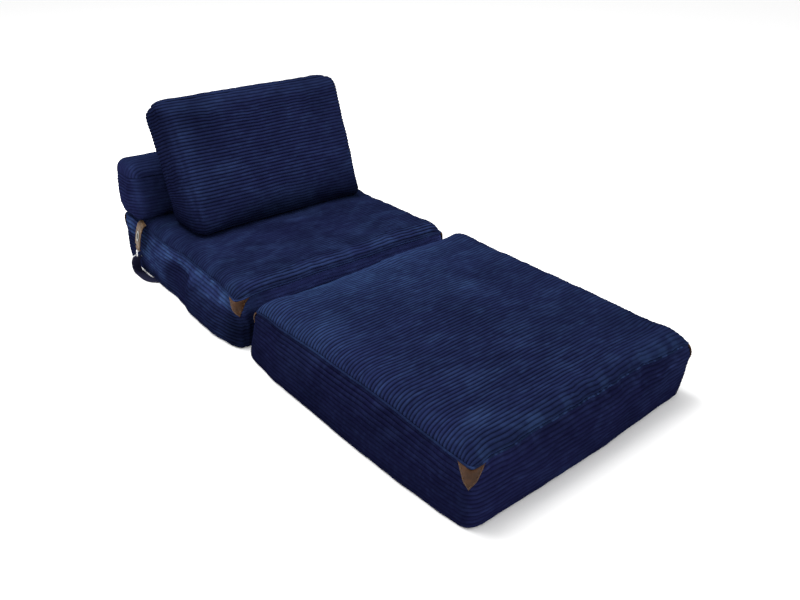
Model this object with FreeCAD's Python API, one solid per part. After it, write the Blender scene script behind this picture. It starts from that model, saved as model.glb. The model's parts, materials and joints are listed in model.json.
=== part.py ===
import FreeCAD, Part
import math
import os

# Convertible chair bed: two hinged foam-filled sections, a bolster that folds
# back over the rear edge, a loose pillow and two side straps with snap hooks.
# Millimetres. +X to the right, +Y to the head end, +Z up, floor at z = 0.
# Origin: bottom centre of the whole object.

V = FreeCAD.Vector

# ---- driving dimensions -------------------------------------------------
WIDTH = 800.0            # section width across
Y_FOOT_FRONT = -856.0    # front seam line of the foot section
FOOT_TOP_LEN = 852.0     # foot section, length between its top seams
FOOT_BASE_LEN = 889.0    # foot section, length at the floor
SEAT_TOP_START = 937.0   # seat section, front top seam, from the foot front
SEAT_BASE_START = 931.0  # seat section, front lower edge
SEAT_REAR = 1708.0       # seat section, rear face
FOOT_SEAM_Z = 154.0      # height of the foot section's top seam
FOOT_TOP_Z = 189.0       # height of the foot section's crown
SEAT_SEAM_Z = 152.0
SEAT_TOP_Z = 185.0
COVER_T = 3.0            # corduroy with its wadding
CORE_GAP = 0.5           # cover to foam
BASE_CUT_Z = 6.0         # where the side band meets the base panel
CORNER_R = 26.0          # vertical corner radius of the sections
FOLD_Y = 910.0           # fabric hinge between the sections
FOLD_Z = -0.5
FOLD_SLIT = 0.5          # half slit between the two sides of the hinge strip
BOLSTER_HALF = 410.0
BOLSTER_FRONT = 1573.0
BOLSTER_REAR = 1709.0
BOLSTER_Z0 = 185.6
BOLSTER_Z1 = 376.0
BOLSTER_HINGE_Y = 1713.0
BOLSTER_HINGE_Z = 190.0
PILLOW_X = 28.0          # pillow stands off centre
PILLOW_HALF = 340.0
PILLOW_T = 156.0
PILLOW_H = 455.0
PILLOW_LEAN = 24.0       # degrees back from upright
PILLOW_FOOT_Y = 1316.0   # lower front edge of the pillow
PILLOW_FOOT_Z = 186.3
PATCH_T = 1.4            # leather corner patch
PATCH_LEG = 45.0
PATCH_DROP = 55.0
TAB_W = 44.0             # leather strap tab
TAB_T = 3.4
TAB_TWIST = 14.0
TAB_PATH = [(12.0, 1574.0, 178.5), (3.0, 1573.0, 177.5), (-5.0, 1572.0, 170.5), (-11.0, 1571.0, 158.0),
            (-17.5, 1570.0, 139.0), (-22.0, 1569.0, 121.0), (-25.0, 1568.4, 107.0)]
EYELET_POS = (-17.5, 1570.0, 139.0)
EYELET_OR = 17.5
EYELET_IR = 11.5
RING_POS = (-26.0, 1568.0, 98.0)
RING_TILT = 12.0
HOOK_AXIS = (-0.03, 0.40, -0.90)
WEB_W = 30.0             # webbing
WEB_T = 2.0
WEB_Z = 0.6
WEB_DROP = [(1598.5, 42.0), (1604.5, 28.0), (1604.0, 14.5), (1596.5, 5.4), (1584.0, 1.6), (1562.0, 1.6),
            (1538.0, 1.6)]
WEB_RUN = [(-26.5, 1525.0), (-23.0, 1510.0), (-16.0, 1496.5), (-6.0, 1486.0), (6.0, 1478.0)]
ZIP_TAPE = 11.0
ZIP_TAPE_T = 0.8
ZIP_TOOTH_W = 2.4
ZIP_TOOTH_T = 1.5

os.makedirs("parts", exist_ok=True)
NODES = []


def keep(name, shape):
    if shape.ShapeType == "Compound" and len(shape.Solids) == 1:
        shape = shape.Solids[0]
    if shape.isNull() or not shape.isValid() or shape.Volume <= 0:
        print("BAD", name, shape.isNull() or shape.isValid())
    shape.exportStep("parts/%s.step" % name)
    NODES.append((name, shape))


def ry(y):
    return y + Y_FOOT_FRONT


# ---- cushions as stacks of rounded rectangles ---------------------------
def rrect(x0, x1, y0, y1, r, place):
    """Closed wire: a rounded rectangle in a local plane, set in space by place(a, b)."""
    h = r * (1 - math.sqrt(0.5))
    pts = [((x0 + r, y0), (x1 - r, y0)), ((x1 - r, y0), (x1 - h, y0 + h), (x1, y0 + r)),
           ((x1, y0 + r), (x1, y1 - r)), ((x1, y1 - r), (x1 - h, y1 - h), (x1 - r, y1)),
           ((x1 - r, y1), (x0 + r, y1)), ((x0 + r, y1), (x0 + h, y1 - h), (x0, y1 - r)),
           ((x0, y1 - r), (x0, y0 + r)), ((x0, y0 + r), (x0 + h, y0 + h), (x0 + r, y0))]
    edges = []
    for p in pts:
        q = [place(*c) for c in p]
        if len(q) == 2:
            edges.append(Part.LineSegment(q[0], q[1]).toShape())
        else:
            edges.append(Part.Arc(q[0], q[1], q[2]).toShape())
    return Part.Wire(edges)


def flat_stack(levels, grow=0.0, lift=0.0, drop=0.0):
    """Solid through horizontal levels (z, x0, x1, y0, y1, r); grow moves the sides out."""
    wires = []
    n = len(levels)
    for i, (z, x0, x1, y0, y1, r) in enumerate(levels):
        zz = z + (lift if i == n - 1 else 0) - (drop if i == 0 else 0)
        wires.append(rrect(x0 - grow, x1 + grow, y0 - grow, y1 + grow, max(r + grow, 4.0),
                           lambda a, b, zz=zz: V(a, b, zz)))
    return Part.makeLoft(wires, True, True)


def inner_levels(levels, t):
    """The same stack moved in by t: sides by t, the first and last level by t in height."""
    out = []
    z0, z1 = levels[0][0], levels[-1][0]
    for (z, x0, x1, y0, y1, r) in levels:
        zz = z0 + t + (z - z0) * (z1 - z0 - 2 * t) / (z1 - z0)
        out.append((zz, x0 + t, x1 - t, y0 + t, y1 - t, max(r - t, 5.0)))
    return out


def slab(z0, z1, size=3000.0):
    return Part.makeBox(size, size, z1 - z0, V(-size / 2, -size / 2, z0))


foot_levels = []
for z, ins, yb, r in ((0.0, 14.0, FOOT_BASE_LEN - 10, 22.0), (5.0, 5.0, FOOT_BASE_LEN - 2, 24.0),
                      (14.0, 0.5, FOOT_BASE_LEN, CORNER_R),
                      (80.0, -1.0, FOOT_BASE_LEN - (FOOT_BASE_LEN - FOOT_TOP_LEN) * 66.0 / 140.0, CORNER_R),
                      (FOOT_SEAM_Z, 1.0, FOOT_TOP_LEN, CORNER_R),
                      (163.0, 6.0, FOOT_TOP_LEN - 5, 27.0), (174.0, 21.0, FOOT_TOP_LEN - 20, 30.0),
                      (182.0, 48.0, FOOT_TOP_LEN - 47, 36.0), (187.0, 92.0, FOOT_TOP_LEN - 91, 44.0),
                      (FOOT_TOP_Z, 150.0, FOOT_TOP_LEN - 149, 50.0)):
    foot_levels.append((z, -WIDTH / 2 + ins, WIDTH / 2 - ins, ry(ins), ry(yb), r))

seat_levels = []
for z, ins, ya, yb, r in ((0.0, 14.0, SEAT_BASE_START + 11, SEAT_REAR - 12, 22.0),
                          (5.0, 5.0, SEAT_BASE_START + 3, SEAT_REAR - 4, 24.0),
                          (14.0, 0.5, SEAT_BASE_START, SEAT_REAR, CORNER_R),
                          (80.0, -1.0, SEAT_BASE_START + 3, SEAT_REAR, CORNER_R),
                          (SEAT_SEAM_Z, 1.0, SEAT_TOP_START, SEAT_REAR, CORNER_R),
                          (160.0, 6.0, SEAT_TOP_START + 6, SEAT_REAR - 3, 27.0),
                          (170.0, 20.0, SEAT_TOP_START + 21, SEAT_REAR - 10, 29.0),
                          (178.0, 44.0, SEAT_TOP_START + 48, SEAT_REAR - 22, 34.0),
                          (183.0, 86.0, SEAT_TOP_START + 92, SEAT_REAR - 42, 40.0),
                          (SEAT_TOP_Z, 140.0, SEAT_TOP_START + 150, SEAT_REAR - 70, 46.0)):
    seat_levels.append((z, -WIDTH / 2 + ins, WIDTH / 2 - ins, ry(ya), ry(yb), r))

bolster_levels = []
for z, ins, ya, yb, r in ((BOLSTER_Z0, 30.0, 22.0, 14.0, 34.0), (192.0, 14.0, 10.0, 7.0, 40.0),
                          (203.0, 5.0, 3.0, 0.0, 44.0), (280.0, 0.0, 0.0, 0.0, 46.0),
                          (345.0, 4.0, 3.0, 0.0, 45.0), (360.0, 15.0, 12.0, 8.0, 42.0),
                          (370.0, 36.0, 28.0, 22.0, 36.0), (BOLSTER_Z1, 66.0, 46.0, 40.0, 22.0)):
    bolster_levels.append((z, -BOLSTER_HALF + ins, BOLSTER_HALF - ins,
                           ry(BOLSTER_FRONT + ya), ry(BOLSTER_REAR - yb), r))


def cushion(prefix, levels, seam_z, base_z):
    outer = flat_stack(levels)
    inner = flat_stack(inner_levels(levels, COVER_T))
    shell = outer.cut(inner)
    keep(prefix + "_top_panel", shell.common(slab(seam_z, 900)))
    keep(prefix + "_side_band", shell.common(slab(base_z, seam_z)))
    keep(prefix + "_base_panel", shell.common(slab(-10, base_z)))
    core = flat_stack(inner_levels(levels, COVER_T + CORE_GAP))
    return outer, core


foot_outer, foot_core = cushion("foot", foot_levels, FOOT_SEAM_Z, BASE_CUT_Z)
keep("foot_foam_block", foot_core)
seat_outer, seat_core = cushion("seat", seat_levels, SEAT_SEAM_Z, BASE_CUT_Z)
keep("seat_foam_block", seat_core)
bolster_outer, bolster_core = cushion("bolster", bolster_levels, 352.0, 196.0)
keep("bolster_foam_block", bolster_core)


# ---- leather corner patches, folded round the top corners ---------------
def corner_patches(prefix, levels, seam_z, tip_extra=0.0):
    outer = flat_stack(levels)
    grown = flat_stack(levels, grow=PATCH_T)
    skin = grown.cut(outer).common(slab(seam_z - PATCH_DROP - 5, seam_z - 0.6))
    rows = dict((lv[0], lv) for lv in levels)
    lv = rows[seam_z]
    k = PATCH_DROP / PATCH_LEG
    parts = []
    for cx, sx in ((lv[1], 1), (lv[2], -1)):
        for cy, sy in ((lv[3], 1), (lv[4], -1)):
            # half space above a plane that rises away from the corner along both faces
            n = V(-k * sx, -k * sy, 1.0)
            n.normalize()
            tip = V(cx + sx * 8, cy + sy * 8, seam_z - PATCH_DROP)
            box = Part.makeBox(400, 400, 400, V(-200, -200, 0))
            box.Placement = FreeCAD.Placement(tip, FreeCAD.Rotation(V(0, 0, 1), n))
            near = Part.makeBox(120, 120, 120, V(cx - 60, cy - 60, seam_z - 119))
            parts.append(skin.common(box).common(near))
    solids = []
    for p in parts:
        solids.extend(p.Solids)
    keep(prefix + "_corner_patches", Part.makeCompound(solids))


corner_patches("foot", foot_levels, FOOT_SEAM_Z)
corner_patches("seat", seat_levels, SEAT_SEAM_Z)

# ---- fabric hinge between the sections ----------------------------------
HINGE_HALF = WIDTH / 2 - 18
keep("fold_hinge_foot_side", Part.makeBox(2 * HINGE_HALF, FOLD_Y - FOLD_SLIT - FOOT_BASE_LEN - 0.2, 2.0,
                                          V(-HINGE_HALF, ry(FOOT_BASE_LEN + 0.2), 0.0)))
keep("fold_hinge_seat_side", Part.makeBox(2 * HINGE_HALF, SEAT_BASE_START - 0.2 - FOLD_Y - FOLD_SLIT, 2.0,
                                          V(-HINGE_HALF, ry(FOLD_Y + FOLD_SLIT), 0.0)))

# ---- fabric hinge of the bolster ----------------------------------------
STRIP_Y0 = SEAT_REAR + 1.2
STRIP_HALF = 334.0       # ends short of the corner patches
keep("bolster_hinge_seat_side", Part.makeBox(2 * STRIP_HALF, 1.6, BOLSTER_HINGE_Z - 0.5 - 146.0,
                                             V(-STRIP_HALF, ry(STRIP_Y0), 146.0)))
keep("bolster_hinge_bolster_side", Part.makeBox(2 * STRIP_HALF, 1.6, 24.0,
                                                V(-STRIP_HALF, ry(STRIP_Y0), BOLSTER_HINGE_Z + 0.5)))

# ---- pillow: stacked along its thickness --------------------------------
lean = math.radians(PILLOW_LEAN)
PU = V(0, math.sin(lean), math.cos(lean))       # up the pillow
PN = V(0, math.cos(lean), -math.sin(lean))      # through it, towards the bolster
SHEAR = math.tan(lean)                          # the underside is pressed level by the seat
P0 = V(PILLOW_X, ry(PILLOW_FOOT_Y), PILLOW_FOOT_Z)

pillow_levels = []   # (n, inset, r)
for n, ins, r in ((0.0, 78.0, 40.0), (4.0, 46.0, 44.0), (11.0, 20.0, 48.0), (19.0, 5.0, 50.0),
                  (PILLOW_T / 2, 0.0, 52.0), (PILLOW_T - 19, 5.0, 50.0), (PILLOW_T - 11, 20.0, 48.0),
                  (PILLOW_T - 4, 46.0, 44.0), (PILLOW_T, 78.0, 40.0)):
    pillow_levels.append((n, ins, r))


def pillow_stack(t):
    wires = []
    for n, ins, r in pillow_levels:
        nn = t + n * (PILLOW_T - 2 * t) / PILLOW_T
        u0 = n * SHEAR + ins + t
        u1 = PILLOW_H - ins - t
        a = PILLOW_HALF - ins - t
        base = P0 + PN * nn
        wires.append(rrect(-a, a, u0, u1, max(r - t, 5.0),
                           lambda p, q, base=base: base + V(p, 0, 0) + PU * q))
    return Part.makeLoft(wires, True, True)


def pillow_slab(n0, n1):
    """Space between two planes square to the pillow's thickness."""
    box = Part.makeBox(2000, 2000, n1 - n0, V(-1000, -1000, 0))
    box.Placement = FreeCAD.Placement(P0 + PN * n0, FreeCAD.Rotation(V(0, 0, 1), PN))
    return box


pillow_outer = pillow_stack(0.0)
pillow_shell = pillow_outer.cut(pillow_stack(COVER_T))
keep("pillow_front_panel", pillow_shell.common(pillow_slab(-50, 19)))
keep("pillow_side_band", pillow_shell.common(pillow_slab(19, PILLOW_T - 19)))
keep("pillow_back_panel", pillow_shell.common(pillow_slab(PILLOW_T - 19, PILLOW_T + 50)))
keep("pillow_fill", pillow_stack(COVER_T + CORE_GAP))


# ---- zips: two tapes, two rows of teeth, a slider -----------------------
def zip_at(prefix, origin, up, normal, length):
    """A closed zip centred on origin, running along X on a flat face."""
    def bar(x0, x1, v0, v1, n0, n1):
        b = Part.makeBox(x1 - x0, v1 - v0, n1 - n0, V(x0, v0, n0))
        m = FreeCAD.Matrix(1, 0, 0, origin.x, 0, up.y, normal.y, origin.y,
                           0, up.z, normal.z, origin.z, 0, 0, 0, 1)
        b.transformShape(m)
        return b
    h = length / 2
    t0 = 0.05
    t1 = t0 + ZIP_TAPE_T
    g = 0.15
    keep(prefix + "_zip_tapes", Part.makeCompound([
        bar(-h, h, g, ZIP_TAPE, t0, t1), bar(-h, h, -ZIP_TAPE, -g, t0, t1)]))
    keep(prefix + "_zip_teeth", Part.makeCompound([
        bar(-h + 4, h - 4, g, ZIP_TOOTH_W, t1, t1 + ZIP_TOOTH_T),
        bar(-h + 4, h - 4, -ZIP_TOOTH_W, -g, t1, t1 + ZIP_TOOTH_T)]))
    # slider: a channel over the teeth with a low bridge, parked at the closed end
    x0 = -h + 6
    c = 0.3
    top = t1 + ZIP_TOOTH_T + c
    body = bar(x0, x0 + 11, -ZIP_TOOTH_W - 1.6, ZIP_TOOTH_W + 1.6, t1 + c, top + 1.2)
    body = body.cut(bar(x0 - 1, x0 + 12, -ZIP_TOOTH_W - c, ZIP_TOOTH_W + c, t1 - 1, top))
    bridge = bar(x0 + 2, x0 + 9, -0.9, 0.9, top + 1.2, top + 2.6)
    bridge = bridge.cut(bar(x0 + 3.4, x0 + 7.6, -2, 2, top + 1.2, top + 1.9))
    keep(prefix + "_zip_slider", body.fuse(bridge).removeSplitter())


beta = math.atan((FOOT_BASE_LEN - FOOT_TOP_LEN) / 140.0)
FOOT_ZIP_Z = 44.0
foot_zip_y = FOOT_BASE_LEN - (FOOT_ZIP_Z - 14.0) * math.tan(beta)
zip_at("foot", V(0, ry(foot_zip_y), FOOT_ZIP_Z), V(0, -math.sin(beta), math.cos(beta)),
       V(0, math.cos(beta), math.sin(beta)), 620.0)
zip_at("seat", V(0, ry(SEAT_REAR), 44.0), V(0, 0, 1), V(0, 1, 0), 620.0)
zip_at("bolster", V(0, ry(BOLSTER_REAR), 238.0), V(0, 0, 1), V(0, 1, 0), 600.0)
zip_at("pillow", P0 + PN * PILLOW_T + PU * (PILLOW_T * SHEAR + 96.0) , PU, PN, 440.0)


# ---- side straps --------------------------------------------------------
def tab_section(c, w, n, half_w, half_t):
    """Rectangle across the strap at c: w along its width, n through its thickness."""
    p = [c - w * half_w - n * half_t, c + w * half_w - n * half_t,
         c + w * half_w + n * half_t, c - w * half_w + n * half_t]
    return Part.makePolygon(p + [p[0]])


def unit(v):
    w = V(v)
    w.normalize()
    return w


def rod(p, q, r):
    d = q - p
    return Part.makeCylinder(r, d.Length, p, d)


def ball(p, r):
    return Part.makeSphere(r, p)


tw = math.radians(TAB_TWIST)
TW = V(math.sin(tw), math.cos(tw), 0)        # along the tab's width, rear edge inwards
bt = math.radians(RING_TILT)
TB = TW * math.cos(bt) + V(0, 0, 1) * math.sin(bt)   # the ring's bar, rear end a little higher
HA = unit(V(*HOOK_AXIS))                     # down the hook's length


def lx(x, y, z):
    """A point by its distance from the left side face, from the foot front and from the floor."""
    return V(-WIDTH / 2 + x, ry(y), z)


def build_strap():
    """All pieces of the left strap; the right one is its mirror image."""
    out = {}
    ring_at = lx(*RING_POS)
    eye_at = lx(*EYELET_POS)
    pts = [lx(*p) for p in TAB_PATH] + [ring_at]
    wires = []
    for i, c in enumerate(pts):
        d = unit(pts[min(i + 1, len(pts) - 1)] - pts[max(i - 1, 0)])
        n = unit(d.cross(TW))
        half = TAB_W / 2 * (1.0, 0.93, 0.80)[max(0, i - len(pts) + 3)]
        wires.append(tab_section(c, TW, n, half, TAB_T / 2))
    tab = Part.makeLoft(wires, True, True)
    # the fold at the lower end that holds the ring's bar
    tab = tab.fuse(Part.makeCylinder(4.4, 27.0, ring_at - TB * 13.5, TB))
    tab = tab.cut(Part.makeCylinder(2.0, 70.0, ring_at - TB * 35.0, TB))
    k = min(range(1, len(pts) - 1), key=lambda i: (pts[i] - eye_at).Length)
    en = unit(unit(pts[k + 1] - pts[k - 1]).cross(TW))
    if en.x > 0:
        en = en * -1.0
    tab = tab.cut(Part.makeCylinder(EYELET_IR + 1.9, 40.0, eye_at - en * 20.0, en))
    # eyelet: a flange each side of the leather, joined by a barrel; the leather is pressed flat under it
    half = TAB_T / 2 + 0.1
    tab = tab.cut(Part.makeCylinder(EYELET_OR + 0.2, 6.0, eye_at + en * (half - 0.05), en))
    tab = tab.cut(Part.makeCylinder(EYELET_OR + 0.2, 6.0, eye_at - en * (half - 0.05 + 6.0), en))
    eye = Part.makeCylinder(EYELET_IR + 1.8, 2 * half + 2.0, eye_at - en * (half + 1.0), en)
    eye = eye.fuse(Part.makeCylinder(EYELET_OR, 1.0, eye_at + en * half, en))
    eye = eye.fuse(Part.makeCylinder(EYELET_OR, 1.0, eye_at - en * (half + 1.0), en))
    eye = eye.cut(Part.makeCylinder(EYELET_IR, 40.0, eye_at - en * 20.0, en))
    out["strap_eyelet"] = eye.removeSplitter()
    out["_eyelet_at"] = eye_at
    out["_eyelet_axis"] = en

    hx = unit(TB - HA * TB.dot(HA))
    ht = hx.cross(HA)
    if ht.x > 0:
        ht = ht * -1.0

    def at(x, a, t=0.0):
        return ring_at + hx * x + HA * a + ht * t

    # ring: a bar in the leather fold, two arms and a collar for the swivel stud
    e0, e1 = ring_at - TB * 15.5, ring_at + TB * 15.5
    ring = rod(e0, e1, 1.5)
    for e, s in ((e0, -1), (e1, 1)):
        tab = tab.cut(rod(e, at(s * 6.5, 9.6), 1.8)).cut(ball(e, 1.8))
    out["strap_tab"] = tab.removeSplitter()
    for e, s in ((e0, -1), (e1, 1)):
        ring = ring.fuse(ball(e, 1.5)).fuse(rod(e, at(s * 6.5, 9.6), 1.5)).fuse(ball(at(s * 6.5, 9.6), 1.5))
    ring = ring.fuse(rod(at(-6.5, 9.6), at(6.5, 9.6), 1.5)).fuse(Part.makeCylinder(4.6, 3.6, at(0, 7.8), HA))
    ring = ring.cut(Part.makeCylinder(2.2, 20.0, at(0, 0.0), HA))
    ring = ring.cut(Part.makeCylinder(3.6, 1.6, at(0, 6.1), HA))
    ring = ring.fuse(rod(e0, e1, 1.5))
    out["hook_swivel_ring"] = ring.removeSplitter()

    # body: stud with a head above the collar, shoulder, shank and J-shaped bow
    body = Part.makeCylinder(3.2, 1.2, at(0, 6.4), HA)
    body = body.fuse(Part.makeCylinder(2.1, 5.6, at(0, 6.5), HA))
    body = body.fuse(Part.makeCylinder(4.6, 3.0, at(0, 11.7), HA))
    body = body.fuse(Part.makeCone(4.2, 2.6, 3.6, at(0, 14.7), HA))
    body = body.fuse(rod(at(0, 17.4), at(-5.0, 23.5), 2.1)).fuse(ball(at(0, 17.4), 2.6))
    body = body.fuse(ball(at(-5.0, 23.5), 2.1)).fuse(rod(at(-5.0, 23.5), at(-6.4, 30.0), 2.0))
    body = body.fuse(ball(at(-6.4, 30.0), 2.0))
    prev = at(-6.4, 30.0)
    for i in range(1, 8):
        ang = math.pi * i / 7.0 * 0.97
        q = at(-6.4 * math.cos(ang), 30.0 + 6.4 * math.sin(ang))
        body = body.fuse(rod(prev, q, 2.0)).fuse(ball(q, 2.0))
        prev = q
    # lug with a slot for the gate, and the gate's pin
    gp = (2.4, 18.8)
    lug = rod(at(gp[0], gp[1], -3.2), at(gp[0], gp[1], 3.2), 2.5).fuse(
        rod(at(0.2, 17.4, -3.2), at(0.2, 17.4, 3.2), 2.0))
    body = body.cut(rod(at(gp[0], gp[1], -1.6), at(gp[0], gp[1], 1.6), 3.4))
    body = body.fuse(lug.cut(rod(at(gp[0], gp[1], -1.6), at(gp[0], gp[1], 1.6), 3.4)))
    body = body.cut(rod(at(gp[0], gp[1], -6), at(gp[0], gp[1], 6), 0.85))
    out["hook_body"] = body.removeSplitter()
    out["hook_gate_pin"] = rod(at(gp[0], gp[1], -3.3), at(gp[0], gp[1], 3.3), 0.8)
    # gate: a flat lever that closes the mouth of the bow
    gate = rod(at(gp[0], gp[1], -1.3), at(gp[0], gp[1], 1.3), 2.2)
    gate = gate.fuse(rod(at(gp[0] + 0.6, gp[1] + 1.0), at(5.2, 27.2), 1.25)).fuse(ball(at(5.2, 27.2), 1.25))
    gate = gate.cut(rod(at(gp[0], gp[1], -6), at(gp[0], gp[1], 6), 0.86))
    out["hook_gate"] = gate.removeSplitter()
    out["_gate_pivot"] = at(*gp)
    out["_gate_axis"] = ht
    out["_gate_tip"] = at(5.2, 27.2)
    out["_shank"] = at(-6.0, 27.2)
    out["_swivel_at"] = at(0, 9.0)
    out["_swivel_axis"] = HA

    # D-ring: its bow passes through the hook, its bar is in the webbing's fold
    m = at(0, 36.4 - 2.0 - 1.5 - 0.45)
    dd = unit(V(0, 0.42, -0.91))
    dpts = [(0, 0), (6.0, 0.5), (12.0, 3.2), (16.5, 8.2), (17.5, 14.5)]
    dring = rod(m + V(-17.5, 0, 0) + dd * 14.5, m + V(17.5, 0, 0) + dd * 14.5, 1.5)
    for s in (-1, 1):
        for (p0, q0), (p1, q1) in zip(dpts, dpts[1:]):
            a0 = m + V(s * p0, 0, 0) + dd * q0
            a1 = m + V(s * p1, 0, 0) + dd * q1
            dring = dring.fuse(rod(a0, a1, 1.5)).fuse(ball(a1, 1.5))
    dring = dring.fuse(ball(m, 1.5))
    out["strap_d_ring"] = dring.removeSplitter()
    bar = m + dd * 14.5

    # webbing: a sewn fold round the bar, a drop to the floor, then a flat run
    # that curves in and is caught in the seat's lower seam
    cx = bar.x
    x0 = cx - WEB_W / 2
    fold = Part.makeCylinder(1.9 + WEB_T, WEB_W, V(x0, bar.y, bar.z), V(1, 0, 0))
    path = [(bar.y - ry(0), bar.z)] + WEB_DROP

    def ribbon(points, ta, tb):
        lf, rt = [], []
        for i, (yy, zz) in enumerate(points):
            a = points[max(i - 1, 0)]
            b = points[min(i + 1, len(points) - 1)]
            dy, dz = b[0] - a[0], b[1] - a[1]
            n = math.hypot(dy, dz)
            ny, nz = -dz / n, dy / n
            lf.append(V(x0, ry(yy) + ny * ta, zz + nz * ta))
            rt.append(V(x0, ry(yy) - ny * tb, zz - nz * tb))
        return Part.Face(Part.makePolygon(lf + rt[::-1] + [lf[0]])).extrude(V(WEB_W, 0, 0))

    web = fold.fuse(ribbon(path[:3], WEB_T * 1.4, WEB_T)).fuse(ribbon(path, WEB_T / 2, WEB_T / 2))
    web = web.cut(Part.makeCylinder(1.9, WEB_W + 2, V(x0 - 1, bar.y, bar.z), V(1, 0, 0)))
    lf, rt = [], []
    run = [(cx + WIDTH / 2, WEB_DROP[-1][0] + 2.0)] + WEB_RUN
    for i, (xx, yy) in enumerate(run):
        a = run[max(i - 1, 0)]
        b = run[min(i + 1, len(run) - 1)]
        dx, dy = b[0] - a[0], b[1] - a[1]
        if i == 0:
            dx, dy = 0.0, -1.0
        n = math.hypot(dx, dy)
        lf.append(lx(xx - dy / n * WEB_W / 2, yy + dx / n * WEB_W / 2, WEB_Z))
        rt.append(lx(xx + dy / n * WEB_W / 2, yy - dx / n * WEB_W / 2, WEB_Z))
    flat = Part.Face(Part.makePolygon(lf + rt[::-1] + [lf[0]])).extrude(V(0, 0, WEB_T))
    flat = flat.common(Part.makeBox(100, 200, 10, V(-WIDTH / 2 - 92.5, ry(1440.0), 0)))
    out["webbing"] = web.fuse(flat).removeSplitter()
    return out


left = build_strap()
for name in sorted(left):
    if name.startswith("_"):
        p = left[name]
        print("left", name, round(p.x, 4), round(p.y, 4), round(p.z, 4))
        continue
    keep("left_" + name, left[name])
    keep("right_" + name, left[name].mirror(V(0, 0, 0), V(1, 0, 0)))

box = Part.makeCompound([s for _, s in NODES]).BoundBox
print("nodes", len(NODES), "x", round(box.XMin, 2), round(box.XMax, 2), "y", round(box.YMin, 2),
      round(box.YMax, 2), "z", round(box.ZMin, 2), round(box.ZMax, 2))
for name, s in NODES:
    print("%-30s %2d solids %10.0f mm3 %s" % (name, len(s.Solids), s.Volume, s.isValid()))
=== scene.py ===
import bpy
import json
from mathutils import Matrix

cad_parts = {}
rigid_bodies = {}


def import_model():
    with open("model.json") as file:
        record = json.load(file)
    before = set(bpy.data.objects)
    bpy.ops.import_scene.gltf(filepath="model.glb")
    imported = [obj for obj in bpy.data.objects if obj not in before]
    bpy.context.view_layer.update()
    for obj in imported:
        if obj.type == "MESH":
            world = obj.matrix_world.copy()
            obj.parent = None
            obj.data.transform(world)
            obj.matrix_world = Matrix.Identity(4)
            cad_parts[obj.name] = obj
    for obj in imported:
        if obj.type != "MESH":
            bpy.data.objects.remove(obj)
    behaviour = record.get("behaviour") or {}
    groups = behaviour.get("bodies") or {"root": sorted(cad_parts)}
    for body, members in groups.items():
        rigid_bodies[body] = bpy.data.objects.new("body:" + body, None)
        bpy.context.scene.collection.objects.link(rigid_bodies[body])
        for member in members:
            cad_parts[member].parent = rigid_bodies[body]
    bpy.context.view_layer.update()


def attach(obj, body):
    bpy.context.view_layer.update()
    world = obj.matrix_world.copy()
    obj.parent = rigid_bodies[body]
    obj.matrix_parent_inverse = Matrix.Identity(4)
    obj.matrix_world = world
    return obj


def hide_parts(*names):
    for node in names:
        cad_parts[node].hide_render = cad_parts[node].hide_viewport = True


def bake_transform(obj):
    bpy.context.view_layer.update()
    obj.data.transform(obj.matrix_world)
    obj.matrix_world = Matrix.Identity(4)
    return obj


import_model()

import bpy, math, json
import numpy as np
from mathutils import Vector, Matrix

# Convertible chair bed in wide-wale corduroy: soft covers, seams, leather patches,
# straps, zips and linings over the CAD model. Lengths are millimetres until the
# meshes are made; x to the right, y to the head end, z up.

RIB = 11.3
PHASES = np.array([0.0, 0.07, 0.20, 0.36, 0.5, 0.64, 0.80, 0.93])
LEAN = math.radians(24.0)


# ---- numbers -------------------------------------------------------------
_tabs = {}


def table_of(seed):
    if seed not in _tabs:
        _tabs[seed] = np.random.RandomState(seed).rand(256, 256) * 2 - 1
    return _tabs[seed]


def noise(u, v, seed, pu=256):
    """Smooth value noise, -1..1; it repeats in u after pu units."""
    t = table_of(seed)
    u, v = np.broadcast_arrays(np.asarray(u, float), np.asarray(v, float))
    iu, iv = np.floor(u).astype(int), np.floor(v).astype(int)
    a, b = u - iu, v - iv
    a = a * a * a * (a * (a * 6 - 15) + 10)
    b = b * b * b * (b * (b * 6 - 15) + 10)
    i0, i1, j0, j1 = iu % pu, (iu + 1) % pu, iv % 256, (iv + 1) % 256
    return (t[i0, j0] * (1 - a) + t[i1, j0] * a) * (1 - b) + (t[i0, j1] * (1 - a) + t[i1, j1] * a) * b


def fbm(u, v, seed, octaves=3):
    s, k = 0.0, 1.0
    for i in range(octaves):
        s = s + noise(np.asarray(u) * 2 ** i + 7.3 * i, np.asarray(v) * 2 ** i + 3.1 * i, seed + i) * k
        k *= 0.5
    return s


def clamp01(t):
    return np.clip(t, 0.0, 1.0)


def smooth(t):
    t = clamp01(t)
    return t * t * (3 - 2 * t)


def bump1(t, w):
    """A smooth hump at t = 0, w wide to each side."""
    return np.exp(-(np.asarray(t) / w) ** 2)


def quarter(d, a, p=2.0):
    """Quarter ellipse (p = 2) or a squarer curve: 0 at the edge, 1 from a on."""
    t = clamp01(np.asarray(d, float) / a)
    return np.maximum(0.0, 1 - (1 - t) ** p) ** (1.0 / p)


def through(f, points):
    """Smooth curve through (f, value) points."""
    P = np.asarray(points, float)
    i = np.clip(np.searchsorted(P[:, 0], f, side="right") - 1, 0, len(P) - 2)
    t = clamp01((f - P[i, 0]) / (P[i + 1, 0] - P[i, 0]))
    return P[i, 1] + (P[i + 1, 1] - P[i, 1]) * (0.5 - 0.5 * np.cos(math.pi * t))


def soft_step(d, a):
    t = clamp01(np.asarray(d, float) / a)
    return t * t * (3 - 2 * t)


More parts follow.
